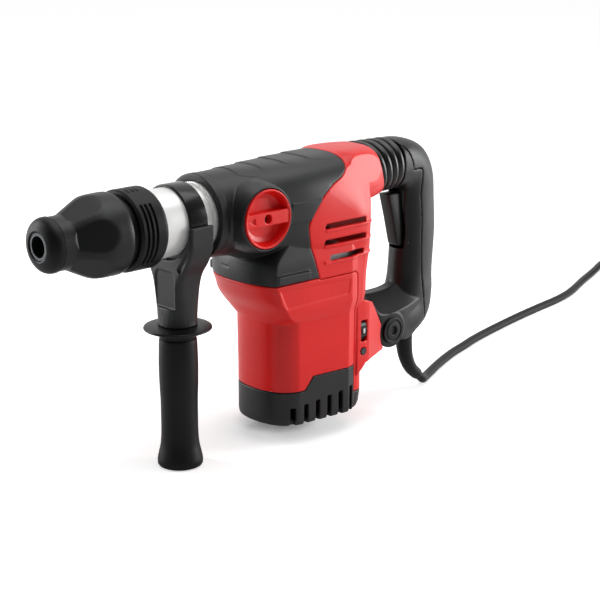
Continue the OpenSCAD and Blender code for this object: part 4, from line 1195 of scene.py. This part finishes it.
    def shell(self, name: str, region: str, extra: Sequence[Obj] = ()) -> Obj:
        """One moulding: its region of the body, with raised details, hollowed.

        Args:
            name: Name of the piece.
            region: Its region.
            extra: Solids to add before it is hollowed.

        Returns:
            The object.
        """
        obj = carve(self.solid(name, 0), Cut.ADD, *extra)
        outline = grown(self.regions()[region], -SEAM / 2)
        carve(obj, Cut.KEEP, prism("region", View.SIDE, outline, -90, 90))
        return carve(obj, Cut.REMOVE, self.solid("hollow", self.wall))

    def raised(self, height: float, outline: Sequence[Point2]) -> Obj:
        """A raised patch of the body's skin.

        Args:
            height: How far it stands out.
            outline: Its outline in side view.

        Returns:
            The solid.
        """
        return carve(self.solid("raised", -height), Cut.KEEP,
                     prism("patch", View.SIDE, outline, -90, 90))

    def step(self, front: float) -> Obj:
        """One of the shallow steps along the top, proud at its front edge.

        Args:
            front: Its front edge.

        Returns:
            The solid.
        """
        rings = []
        for i in range(5):
            x = front - self.step_l * (1 - i / 4)
            proud = self.step_h * i / 4
            w, top, low, n = self.section_at(x)
            rings.append([(x, y, z) for y, z in oval(w + proud, top + proud, low, n, self.sides)])
        half = [(front + 1, 0), (front + 1, 17), (front - 2, 20), (front - 12, 24.5),
                (front - self.step_l, 27)]
        plan = half + [(x, -y) for x, y in half[:0:-1]]
        return carve(skin("step", rings), Cut.KEEP, prism("patch", View.PLAN, plan, 215, 250))

    def gear_cover(self) -> None:
        """Black gear cover: rim band, knob boss and pocket, steps along the top, lips."""
        boss = turned("boss", Lathe.KNOB, [(28, 33), (38, 31.6), (47.4, 29.2), (48.6, 28.2)], 96)
        ledge = [(17, 40), (17, 49.2), (55, 47.5), (55, 40)]
        lips = [edged(prism("lip", View.PLAN, [(x, s * y) for x, y in ledge], 137.6, 145.6), 0.8)
                for s in (-1, 1)]
        panel = [(42, 191), (12, 191), (2, 209), (36, 209)]
        steps = [self.step(x) for x in self.steps_x]
        obj = self.shell("gear_cover_moulding", "gear",
                         [boss, *lips, self.raised(1.4, panel), *steps])
        r = self.bore_r
        band = [(103, r), (103, 37.9), (110.4, 37.9), (111, 37.3), (111, r)]
        rim = turned("rim", Lathe.TOOL, band, ring=True)
        groove = [(101.6, 37.0), (101.6, 45), (102.6, 45), (102.6, 37.0)]
        line = turned("line", Lathe.TOOL, groove, ring=True)
        bore = turned("bore", Lathe.TOOL, [(90, r), (130, r)], 96)
        pocket = turned("pocket", Lathe.KNOB, [(37.9, 27.0), (70, 27.0)], 96)
        shaft = turned("shaft", Lathe.KNOB, [(0, 5.4), (60, 5.4)], 32)
        slit = box("slit", (62.6, -19.5, 147.0), (75, -7.5, 148.4))
        carve(obj, Cut.ADD, rim)
        carve(obj, Cut.REMOVE, line, bore, pocket, shaft, slit)
        dress(moulded(obj, self.grid, 3, 0.3), CHARCOAL, "housing", "gear_cover", sharp=60)

    def rear_cover(self) -> None:
        """Red rear cover: vents with raised ribs, neck, and the arm that carries the pivot."""
        ribs = [self.raised(1.1, [(-90, z - 2.2), (-2, z - 2.2), (-2, z - 0.2), (-90, z - 0.2)])
                for z in self.vent_z]
        obj = self.shell("rear_cover_moulding", "rear", [*ribs, self.arm()])
        for z, front in zip(self.vent_z, (-1, -1, -8)):
            top = z + self.vent_h
            slot = rounded([(-53, z, 1), (front, z, 2), (front - 2, top, 2), (-53, top, 1)], True)
            for s in (-1, 1):
                carve(obj, Cut.REMOVE, prism("slot", View.SIDE, slot, *span(36 * s, 60 * s)))
        carve(obj, Cut.REMOVE,
              box("dial_slot", (-63.2, 20, 62.2), (-54.8, 60, 82.8)),
              hole("lens_hole", (-58, 30, 52.6), 3.9, 40),
              box("dial_room", (-63.2, 16, 58.5), (-54.8, 38.5, 86.5)),
              turned("bolt_hole", Lathe.PIVOT, [(-40, 6.4), (40, 6.4)], 40))
        dress(moulded(obj, self.grid, 3, 0.3), RED, "housing", "rear_cover", sharp=60)

    def arm(self) -> Obj:
        """The arm between the rear cover and the pivot, with its tongue.

        Returns:
            The solid.
        """
        px, pz = PIVOT_AT
        w, r = self.tongue, self.tongue_r
        side = [(-50, 106), (-73, 97.5)] + arc(PIVOT_AT, self.arm_r, 29, -50, 12) + [
            (-97, 43.6), (-68, 42), (-61, 40.2), (-57, 36), (-50, 30)]
        arm = prism("arm", View.SIDE, side, -60, 60)
        half = [(-46, 41), (-60, 41), (-66, 40.4), (px + 13, 28.4), (px - 2, 25.4)]
        plan = half + [(x, -y) for x, y in reversed(half)]
        carve(arm, Cut.KEEP, prism("arm_plan", View.PLAN, plan, -5, 220))
        tongue = turned("tongue", Lathe.PIVOT, [(-w, r), (w, r)], 64)
        block = box("tongue_block", (px, -w, pz - 13), (px + 25, w, pz + 13))
        return carve(arm, Cut.ADD, tongue, block)

    def motor_housing(self) -> None:
        """Red motor housing: round front, flared flange, bare label recess."""
        obj = self.shell("motor_housing_moulding", "motor")
        label = rounded(self.label, True)
        for s in (-1, 1):
            patch = prism("label", View.SIDE, label, *span(38 * s, 60 * s))
            carve(obj, Cut.REMOVE, carve(patch, Cut.REMOVE, self.solid("ground", self.label_deep)))
        dress(moulded(obj, self.grid, 3, 0.3), RED, "housing", "motor_housing", sharp=60)

    def base_cap(self) -> None:
        """Black base cap with its row of air slots and the bearing seat inside."""
        seat = post("bearing_seat", (0, 0, 2), 14, 11)
        obj = carve(self.shell("base_cap_moulding", "cap"), Cut.ADD, seat)
        carve(obj, Cut.REMOVE, post("bearing_room", (0, 0, 3), 11.4, 20))
        first, more = self.slot_h
        for i in range(self.slots):
            x = self.slot_x - self.slot_pitch * i
            for s in (-1, 1):
                low, high = span(32 * s, 60 * s)
                carve(obj, Cut.REMOVE, box("air_slot", (x - self.slot_w, low, -5),
                                           (x + self.slot_w, high, first + more * i)))
        dress(moulded(obj, self.grid, 3, 0.3), CHARCOAL, "housing", "base_cap", sharp=60)

    def gear_plate(self, node: Obj) -> None:
        """The gear case's plate, trimmed to the hollow of the mouldings.

        Args:
            node: The CAD node that it comes from.
        """
        points = [tuple(node.matrix_world @ v.co / MM) for v in node.data.vertices]
        faces = [list(face.vertices) for face in node.data.polygons]
        obj = mesh_object("gear_plate_cast", points, faces)
        carve(obj, Cut.KEEP, self.solid("hollow", self.wall + 0.3))
        dress(obj, CAST, "housing", "gear_plate")

    def build(self, nodes: dict[str, Obj]) -> None:
        """Makes the four mouldings and the plate between them.

        Args:
            nodes: The frame's node objects by name.
        """
        self.gear_cover()
        self.rear_cover()
        self.motor_housing()
        self.base_cap()
        self.gear_plate(nodes["gear_plate"])


# Nose and handles


@dataclass
class Nose:
    """Neck collar, ribbed lock ring, release sleeve with flats, and rubber nose cap."""

    collar_r: float = 30.0
    ring_x: Point2 = (166.0, 195.0)
    ring_r: float = 35.4
    ring_bore: float = 18.1
    ring_boss: float = 30.7
    # The ring's grooves: count, depth, width, slope of their sides, and where they lie
    grooves: int = 3
    groove: float = 1.7
    groove_w: float = 2.4
    groove_side: float = 0.45
    groove_x: Point2 = (13.18, 4.64)
    # The plain pads that break them: count, angle between two, and slope of the ends
    pads: int = 3
    slot_deg: float = 92.0
    slot_end: float = 1.6
    # Radius of the sleeve, and distance of its flats from the axis
    sleeve: tuple[Point2, ...] = (
        (202, 34.2), (203, 35.0), (206, 35.4), (210, 35.4), (218, 35.3), (224, 34.8), (228, 33.8),
        (232, 32.3), (236, 30.4), (240, 28.4), (245, 25.8), (248, 24.3), (250.5, 23.2), (253, 22.8),
        (262.2, 22.8))
    flats: tuple[Point2, ...] = (
        (202, 40), (214, 36.6), (219, 35.0), (224, 33.0), (240, 26.1), (250, 21.9), (253, 23.5),
        (262.2, 27))
    # Bore of the sleeve, wide over the ring's boss
    sleeve_bore: float = 18.5
    sleeve_room: float = 30.6
    flat_turn: float = 13.0
    flat_edge: float = 5.0
    cap: tuple[tuple[float, ...], ...] = (
        (262.6, 18.4), (262.6, 22.9, 0.5), (263.4, 23.5, 0.6), (267.0, 23.3), (270.0, 22.1),
        (272.4, 19.8), (274.2, 16.4), (275, 13.4, 0.5), (274.6, 12.0, 0.5), (269.2, 11.6))

    def collar(self) -> None:
        """The pale collar, with the thin groove in front of the gear cover."""
        r = self.collar_r
        profile = rounded([(60, r - 3), (60, r), (103.2, r), (103.2, r + 1), (112.6, r + 1, 0.4),
                           (113.2, r, 0.3), (115.2, r), (115.2, r - 0.7), (116.0, r - 0.7),
                           (116.0, r), (164.9, r, 0.5), (165.5, r - 0.6), (165.5, r - 3)])
        obj = turned("collar_turned", Lathe.TOOL, profile, 160, True)
        dress(obj, COLLAR, "housing", "neck_collar")

    def ring_radius(self, x: float, angle: float, r: float) -> float:
        """Radius of the lock ring: three grooves, broken by plain pads.

        Args:
            x: Place along the axis.
            angle: Angle about it, in radians.
            r: Radius of the plain ring.

        Returns:
            The radius.
        """
        if r < self.ring_r - 2.4:
            return r
        step = 360 / self.pads
        off = abs((math.degrees(angle) + step / 2) % step - step / 2)
        inside = min(1.0, max(0.0, (self.slot_deg / 2 - off) / self.slot_end + 0.5))
        first, pitch = self.groove_x
        near = min(abs(x - self.ring_x[0] - first - pitch * i) for i in range(self.grooves))
        cut = min(1.0, max(0.0, (self.groove_w / 2 - near) / self.groove_side + 0.5))
        return r - self.groove * cut * inside

    def lock_ring(self) -> None:
        """The ribbed rubber ring and the recessed boss in front of it."""
        (start, end), bore, boss, r = self.ring_x, self.ring_bore, self.ring_boss, self.ring_r
        outer = rounded([(start, bore), (start, 33.2, 1.0), (start + 3.2, r, 2.5),
                         (end - 2.4, r, 1.6), (end, 33.6, 1.0), (end, boss)], steps=6)
        fine = 0.3
        flat = [(start + 5 + fine * i, r) for i in range(int((end - start - 9) / fine))]
        low = [p for p in outer if p[0] < start + 4.9]
        high = [p for p in outer if p[0] > end - 4.2]
        profile = low + flat + high + [(209.6, boss), (210, boss - 0.4), (210, bore)]
        obj = turned("ring_ribbed", Lathe.TOOL, profile, 360, True, self.ring_radius)
        dress(obj, RUBBER, "spindle", "lock_ring")

    def sleeve_radius(self, x: float, angle: float, r: float) -> float:
        """Radius of the sleeve where its six flats cut the round.

        Args:
            x: Place along the axis.
            angle: Angle about it, in radians.
            r: Radius of the round.

        Returns:
            The radius.
        """
        if x <= self.sleeve[0][0] or r in (self.sleeve_bore, self.sleeve_room):
            return r
        off = (math.degrees(angle) - self.flat_turn + 30) % 60 - 30
        flat = between(self.flats, x) / math.cos(math.radians(off))
        k = self.flat_edge
        if abs(r - flat) > 3:
            return min(r, flat)
        return -math.log(math.exp(-k * r) + math.exp(-k * flat)) / k

    def release_sleeve(self) -> None:
        """The sleeve that is pulled back to free the bit."""
        back, front, seat = self.sleeve[0][0], self.sleeve[-1][0], 217.2
        bore, room = self.sleeve_bore, self.sleeve_room
        profile = [(back, room), *curve(self.sleeve, 4), (front, bore), (seat, bore), (seat, room)]
        obj = turned("sleeve_flatted", Lathe.TOOL, profile, 360, True, self.sleeve_radius)
        dress(obj, BLACK, "release_sleeve", "release_sleeve", sharp=35)

    def nose_cap(self) -> None:
        """The dust cap: a well rounded rubber ring."""
        first, *rim, last = rounded(self.cap, steps=5)
        inner = 14.6
        smooth = [first, *curve(rim, 3), last, (last[0], inner), (first[0], inner)]
        obj = turned("nose_moulded", Lathe.TOOL, smooth, ring=True)
        dress(obj, RUBBER, "spindle", "nose_cap", sharp=50)

    def build(self) -> None:
        """Makes the four pieces."""
        self.collar()
        self.lock_ring()
        self.release_sleeve()
        self.nose_cap()


@dataclass
class SideHandle:
    """Clamp strap, forked bracket, hand guard and grip."""

    # Inner and outer radius of the strap, its width, and the bolt's hole
    strap: Point2 = (30.1, 32.7)
    strap_w: float = 19.0
    bolt_r: float = 5.06
    # z, half length, half width, corner radius
    bracket: tuple[tuple[float, ...], ...] = (
        (202, 12.5, 37.1, 2.0), (190, 12.5, 36.7, 2.2), (180, 12.6, 35.6, 2.6), (168, 12.9, 30, 4),
        (157, 13.4, 22.6, 6), (146, 14, 19, 8), (130, 15, 17.4, 12), (116, 16, 16.4, 15),
        (109, 16.5, 16.5, 16.2))
    guard: tuple[tuple[float, ...], ...] = (
        (104.2, 5.05), (104.2, 17.5), (104.4, 28.0), (105.4, 30.2, 1.2), (106.6, 30.3, 0.8),
        (107.4, 29.6, 0.8), (108.7, 20), (108.7, 5.05))
    grip: tuple[Point2, ...] = (
        (104.2, 17.1), (99.4, 17.1), (98.4, 16.4), (97.6, 15.6), (96.9, 15.6), (96.2, 16.6))
    sweep: tuple[Point2, ...] = (
        (94.5, 16.9), (74, 17.5), (54, 17.2), (39, 16.6), (14, 16.5), (0, 17.2), (-8, 18.8),
        (-14.4, 20.2), (-17, 20.4))
    grip_end: float = 12.0

    def clamp_strap(self) -> None:
        """The glossy band round the collar, with its boss below."""
        low, high = GRIP_X - self.strap_w / 2, GRIP_X + self.strap_w / 2
        inner, outer = self.strap
        band = turned("clamp_band", Lathe.TOOL, rounded(
            [(low, inner), (low, outer, 0.7), (high, outer, 0.7), (high, inner)]), 160, True)
        boss = post("boss", (GRIP_X, 0, 157.5), 9, 14.5)
        carve(boss, Cut.REMOVE, turned("room", Lathe.TOOL, [(100, 31), (160, 31)], 96))
        carve(band, Cut.ADD, boss)
        carve(band, Cut.REMOVE, post("bolt_hole", (GRIP_X, 0, 150), self.bolt_r, 20))
        dress(band, GLOSSY, "side_handle", "clamp_strap")

    def clamp_bracket(self) -> None:
        """The fork that holds the strap: ears, waist, recessed panels front and back."""
        rings = []
        for z, half_l, half_w, r in curve(self.bracket, 4):
            corners = [(GRIP_X + i * half_l, k * half_w, r)
                       for i, k in ((1, 1), (-1, 1), (-1, -1), (1, -1))]
            rings.append([(x, y, z) for x, y in rounded(corners, True, 6)])
        obj = skin("bracket_moulding", rings)
        room = self.strap[1] + 0.2
        carve(obj, Cut.REMOVE, turned("band_room", Lathe.TOOL, [(80, room), (180, room)]),
              post("boss_room", (GRIP_X, 0, 157.2), 9.3, 30),
              post("bolt_room", (GRIP_X, 0, 90), 5.3, 90))
        panel = rounded([(-13, 126, 1.5), (13, 126, 1.5), (13, 155, 2), (10, 159.5, 2),
                         (-10, 159.5, 2), (-13, 155, 2)], True)
        cheek = rounded([(17, 163, 1), (20.5, 160, 1), (32.5, 178, 1.5), (31.5, 182, 1)], True)
        for s in (-1, 1):
            deep, deeper = (span(GRIP_X + s * at, GRIP_X + s * 30) for at in (12.4, 11.2))
            carve(obj, Cut.REMOVE, prism("panel", View.FRONT, panel, *deep))
            for side in (-1, 1):
                outline = [(y * side, z) for y, z in cheek]
                carve(obj, Cut.REMOVE, prism("cheek", View.FRONT, outline, *deeper))
        dress(moulded(obj, 0.6, 3, 0.4), CHARCOAL, "side_handle", "clamp_bracket", sharp=60)

    def hand_guard(self) -> None:
        """The guard disc, thinner towards its rim."""
        obj = turned("guard_disc", Lathe.GRIP, rounded(self.guard), ring=True)
        dress(obj, BLACK, "side_grip", "hand_guard")

    def grip_sleeve(self) -> None:
        """The rubber grip: collar under the guard, slight belly, flared end."""
        top, inside = self.grip[0][0], FLOOR_Z + self.grip_end
        profile = [(top, self.bolt_r), *self.grip, *curve(self.sweep, 6),
                   (FLOOR_Z + 2.2, 20.2), (FLOOR_Z + 0.8, 19.2), (FLOOR_Z, 17.4), (FLOOR_Z, 0.5),
                   (inside, 0.5), (inside, self.bolt_r)]
        obj = turned("grip_moulded", Lathe.GRIP, profile, 96, True)
        dress(obj, RUBBER, "side_grip", "grip_sleeve")

    def build(self) -> None:
        """Makes the four pieces."""
        self.clamp_strap()
        self.clamp_bracket()
        self.hand_guard()
        self.grip_sleeve()


@dataclass
class ModeKnob:
    """The red selector: a rimmed dish with a bar across it."""

    radius: float = 26.4
    back: float = 38.5
    front: float = 49.8
    base: float = 1.4
    bar_h: float = 12.0
    hole_r: float = 4.1
    # The pointer's base and tip from the middle, half width and depth
    pointer: tuple[float, ...] = (14.5, 21.5, 3.2, 2.6)
    # Profile of the screw's head, from the knob's back
    screw: tuple[Point2, ...] = (
        (1.6, 0.3), (1.6, 3.7), (3.6, 3.7), (4.2, 3.1), (4.2, 2.0), (2.4, 1.8), (2.4, 0.3))

    def build(self) -> None:
        """Makes the knob with its bar, screw hole and pointer."""
        (x, z), r, back, front = KNOB_AT, self.radius, self.back, self.front
        rim = rounded([(back, 0.5), (back, r, 0.5), (front - 0.2, r, 0.9), (front, r - 1.5, 0.7),
                       (front - 1.2, r - 2.2), (back + 3.0, r - 4.6, 2), (back + self.base, r - 9),
                       (back + self.base, 0.5)])
        knob = turned("knob_moulding", Lathe.KNOB, rim, ring=True)
        half, end = self.bar_h / 2, r - 1
        bar = box("bar", (x - end, back + 1, z - half), (x + end, front - 1.0, z + half))
        carve(bar, Cut.KEEP, turned("round", Lathe.KNOB, [(30, end), (60, end)], 96))
        core = turned("core", Lathe.KNOB, [(back, 3), (back + self.base, 3)], 24)
        carve(knob, Cut.ADD, bar, core)
        base, tip, half_w, deep = self.pointer
        arrow = [(x + base, z - half_w), (x + base, z + half_w), (x + tip, z)]
        bore = [(back + self.base + 0.1, self.hole_r), (60, self.hole_r)]
        carve(knob, Cut.REMOVE, turned("screw_hole", Lathe.KNOB, bore, 32),
              prism("arrow", View.SIDE, arrow, front - deep, 60))
        dress(moulded(knob, 0.45, 3, 0.45), RED, "mode_knob", "mode_knob", sharp=60)
        head = [(back + a, b) for a, b in self.screw]
        dress(turned("knob_screw", Lathe.KNOB, head, 48, True), OILED, "mode_knob")


@dataclass
class RearHandle:
    """D handle: front frame, back shell, trigger, pivot caps and bellows."""

    wall: float = 3.0
    grid: float = 0.9
    # x, z, direction, half depth, half width, squareness
    post: tuple[tuple[float, ...], ...] = (
        (-127.5, 218, 180, 24, 26, 2.6), (-141, 217, 188, 24.5, 24.5, 2.5),
        (-154.5, 210, 212, 25, 22, 2.4), (-162, 196, 240, 24.5, 20, 2.3),
        (-164, 176, 260, 24.4, 18.6, 2.2), (-165.5, 147, 270, 24.4, 18.3, 2.2),
        (-163, 108, 272, 24.4, 18.3, 2.2), (-162, 92, 280, 25.4, 19.3, 2.3))
    foot: tuple[tuple[float, ...], ...] = (
        (-162, 92, 280, 25.4, 19.3, 2.3), (-158.5, 76, 300, 26.4, 20.5, 2.4),
        (-149.5, 66, 330, 22, 23, 2.8), (-131, 62, 360, 19, 26, 3.4), (-110, 60, 360, 17.5, 28, 5))
    # x, bottom, ridge and top of the saddle, half width
    saddle: tuple[tuple[float, ...], ...] = (
        (-77.5, 95.5, 97.5, 100.8, 24), (-87, 84, 88, 97, 26.6), (-95.5, 68, 78.5, 94.8, 27.8),
        (-110, 56, 76.8, 94, 27.8), (-128, 46, 78.3, 94.8, 26.6), (-142, 46.5, 79.5, 99, 23.6),
        (-155, 52, 81, 104, 20.4))
    pivot_r: float = 17.5
    cheek: float = 28.0
    split: tuple[Point2, ...] = (
        (-118, 255), (-122, 243), (-133, 233), (-140, 219), (-142, 213), (-152, 212.5), (-157, 208),
        (-157.5, 186), (-160.5, 162), (-160.7, 120), (-162.5, 88), (-166, 50), (-168, 0))
    tongue: float = 21.6
    trigger_slot: tuple[Point2, ...] = (
        (-108, 191), (-108, 134), (-132, 132.5), (-151, 131.5), (-151, 191))
    trigger_pin: Point2 = (-149.0, 138.0)
    # A pivot cap's profile: distance from the middle and radius
    cap: tuple[Point2, ...] = (
        (20, 0.4), (20, 5.9), (28.0, 5.9), (28.1, 12.9), (29.8, 12.8), (30.6, 12.2), (30.6, 10.6),
        (29.6, 10.2), (29.6, 9.2), (30.6, 8.8), (30.8, 4.8), (30.2, 4.2), (28.6, 3.6), (28.6, 0.4))
    # The bellows' two ends: x, half width, top, bottom, squareness; and its folds
    folds: tuple[tuple[float, ...], ...] = (
        (-94.3, 31.2, 243.6, 192.6, 2.35), (-127.2, 27.4, 243.2, 192.8, 2.1))
    ribs: int = 4
    fold_deep: float = 3.6
    fold_round: float = 1.3
    rib_steps: int = 16
    bend_z: float = 218.0

    def chain(self, name: str, rows: Sequence[Sequence[float]], inset: float = 0.0) -> Obj:
        """A loft along the handle's middle line.

        Args:
            name: Name of the object.
            rows: Stations, as in the field post.
            inset: Distance that the skin moves inwards.

        Returns:
            The solid.
        """
        rings = []
        for x, z, heading, depth, width, n in curve(rows, 8):
            a = math.radians(heading)
            ring = oval(width - inset, depth - inset, inset - depth, n, 64)
            rings.append([(x - math.sin(a) * h, y, z + math.cos(a) * h) for y, h in ring])
        return skin(name, rings)

    def solid(self, name: str) -> Obj:
        """The handle's whole outside as one solid.

        Args:
            name: Name of the object.

        Returns:
            The object.
        """
        ends = [(-self.cheek, self.pivot_r), (self.cheek, self.pivot_r)]
        cheeks = turned("cheeks", Lathe.PIVOT, ends, 72)
        rings = []
        for x, low, ridge, top, w in curve(self.saddle, 4):
            half = [(0, top), (6, top), (w, ridge), (w, low), (0, low)]
            rings.append([(x, y, z) for y, z in half + [(-y, z) for y, z in reversed(half[1:-1])]])
        web, foot = skin("web", rings), self.chain("foot", self.foot)
        return carve(self.chain(name, self.post), Cut.ADD, foot, cheeks, web)

    def hollow(self, obj: Obj) -> Obj:
        """Cuts the room for the switch, the arm's tongue, the cord and the trigger.

        Args:
            obj: The handle's solid.

        Returns:
            The changed object.
        """
        px, pz = PIVOT_AT
        first = (self.post[0][0] - 1, *self.post[0][1:])
        return carve(
            obj, Cut.REMOVE, self.chain("room", (first, *self.post[1:]), self.wall),
            turned("tongue_room", Lathe.PIVOT, [(-self.tongue, 16.3), (self.tongue, 16.3)], 64),
            box("tongue_slot", (px, -self.tongue, pz - 15), (px + 30, self.tongue, pz + 17)),
            turned("bush_room", Lathe.PIVOT, [(-50, 9.1), (50, 9.1)], 48),
            post("cord_room", (-156, 0, 42), 9.4, 30),
            prism("trigger_slot", View.SIDE, self.trigger_slot, -9.3, 9.3))

    def frame_and_back(self) -> None:
        """The black front frame and the slightly lighter back shell."""
        line = curve(self.split, 4)
        back = line + [(-260, 0), (-260, 255)]
        front = self.hollow(self.solid("handle_frame_moulding"))
        carve(front, Cut.REMOVE, prism("back_side", View.SIDE, grown(back, SEAM / 2), -60, 60))
        dress(moulded(front, self.grid, 4), BLACK, "rear_handle", "handle_frame", sharp=60)
        shell = self.hollow(self.solid("handle_back_moulding"))
        carve(shell, Cut.KEEP, prism("back_side", View.SIDE, grown(back, -SEAM / 2), -60, 60))
        dress(moulded(shell, self.grid, 4), CHARCOAL, "rear_handle", "handle_back", sharp=60)

    def trigger(self) -> None:
        """The trigger, with bevelled sides."""
        x, z = self.trigger_pin
        side = [(-124.5, 188), (-131, 165), (-137.5, 139), (-139, 135),
                *arc((x, z), 5, 270, 150, 6), (-148, 150), (-143, 188)]
        obj = edged(prism("trigger_moulding", View.SIDE, side, -7, 7), 1.6)
        carve(obj, Cut.REMOVE, hole("pin_hole", (x, -20, z), 2.6, 40))
        dress(obj, BLACK, "trigger", "trigger")

    def pivot_caps(self) -> None:
        """Round caps over the pivot bolt: rings and a centre socket."""
        for side, name in ((1, "pivot_cap_left"), (-1, "pivot_cap_right")):
            profile = [(side * a, r) for a, r in rounded([(*p, 0.3) for p in self.cap])]
            obj = turned(name, Lathe.PIVOT, profile, 96, True)
            dress(obj, BLACK, "housing", *(["pivot_bolt"] if side == 1 else []))

    def bellows(self) -> None:
        """The rubber bellows between the neck and the handle."""
        steps = self.ribs * self.rib_steps
        rings = []
        for i, (x, w, top, low, n) in enumerate(straight(self.folds, steps)):
            t = i / steps
            wave = 1 - abs(math.sin(math.pi * self.ribs * t))
            deep = self.fold_deep * wave ** self.fold_round
            rings.append([(x + LEAN * (1 - t) * (z - LEAN_Z), y, z)
                          for y, z in oval(w - deep, top - deep, low + deep, n, 80)])
        obj = skin("bellows_moulding", rings)
        room = skin("room", [[(x, y, z) for y, z in oval(w, top, low, 2.7, 64)]
                             for x, w, top, low in ((-80, 23.5, 236, 200), (-130, 20, 235, 201))])
        carve(obj, Cut.REMOVE, room)
        bend(obj, BELLOWS, "bellows", sharp=60)

    def build(self) -> None:
        """Makes the handle's pieces."""
        self.frame_and_back()
        self.trigger()
        self.pivot_caps()
        self.bellows()


@dataclass
class SpeedDial:
    """The pale mark on the dial's rim."""

    at: Point3 = (-59.0, 40.7, 72.5)
    size: Point3 = (2.4, 0.5, 4.6)
    corner_r: float = 0.6

    def build(self) -> None:
        """Makes the mark, a thin plate with round corners."""
        x, y, z = self.at
        w, thick, h = self.size
        corners = [(x + i * w / 2, z + k * h / 2, self.corner_r)
                   for i, k in ((-1, -1), (1, -1), (1, 1), (-1, 1))]
        plate = prism("dial_mark", View.SIDE, rounded(corners, True), y, y + thick)
        dress(edged(plate, 0.12), MARK, "speed_dial")


@dataclass
class InnerWorks:
    """CAD nodes that stay as they are: motor, gears, hammer, switch and dial."""

    finishes: tuple[tuple[Finish, tuple[str, ...]], ...] = (
        (STEEL, ("front_bearing", "stator_core", "motor_bearings", "case_screws", "knob_shaft",
                 "tension_bolt", "bevel_ring", "locking_bars", "armature_shaft", "pinion",
                 "rotor_core", "crankshaft", "crank_gear", "countershaft", "drive_gear",
                 "bevel_pinion", "piston", "conrod", "striker", "impact_bolt")),
        (OILED, ("spindle", "trigger_pin")),
        (CAST, ("gear_case", "brush_holders", "gear_bearings", "pivot_bushes")),
        (COPPER, ("field_windings", "commutator")),
        (CARBON, ("carbon_brushes",)),
        (BOARD, ("control_board",)),
        (RUBBER, ("front_seal",)),
        (CHARCOAL, ("fan",)),
        (GLOSSY, ("speed_dial",)),
        (BLACK, ("switch_module",)),
        (LENS, ("indicator_lens",)))

    def build(self, nodes: dict[str, Obj]) -> None:
        """Gives each node its finish.

        Args:
            nodes: The frame's node objects by name.
        """
        for finish, names in self.finishes:
            for name in names:
                obj = nodes[name]
                obj.data.materials.clear()
                obj.data.materials.append(finish.material())
                log.info("%s keeps its CAD shape, %s", name, finish.name)


def main() -> None:
    logging.basicConfig(level=logging.INFO, format="%(name)s: %(message)s")
    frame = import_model()
    studio = Studio()
    studio.camera()
    MainsCord().build()
    Housing().build(frame["nodes"])
    Nose().build()
    SideHandle().build()
    ModeKnob().build()
    RearHandle().build()
    SpeedDial().build()
    InnerWorks().build(frame["nodes"])
    studio.floor()
    studio.light()
    bpy.context.view_layer.update()


if __name__ == "__main__":
    main()
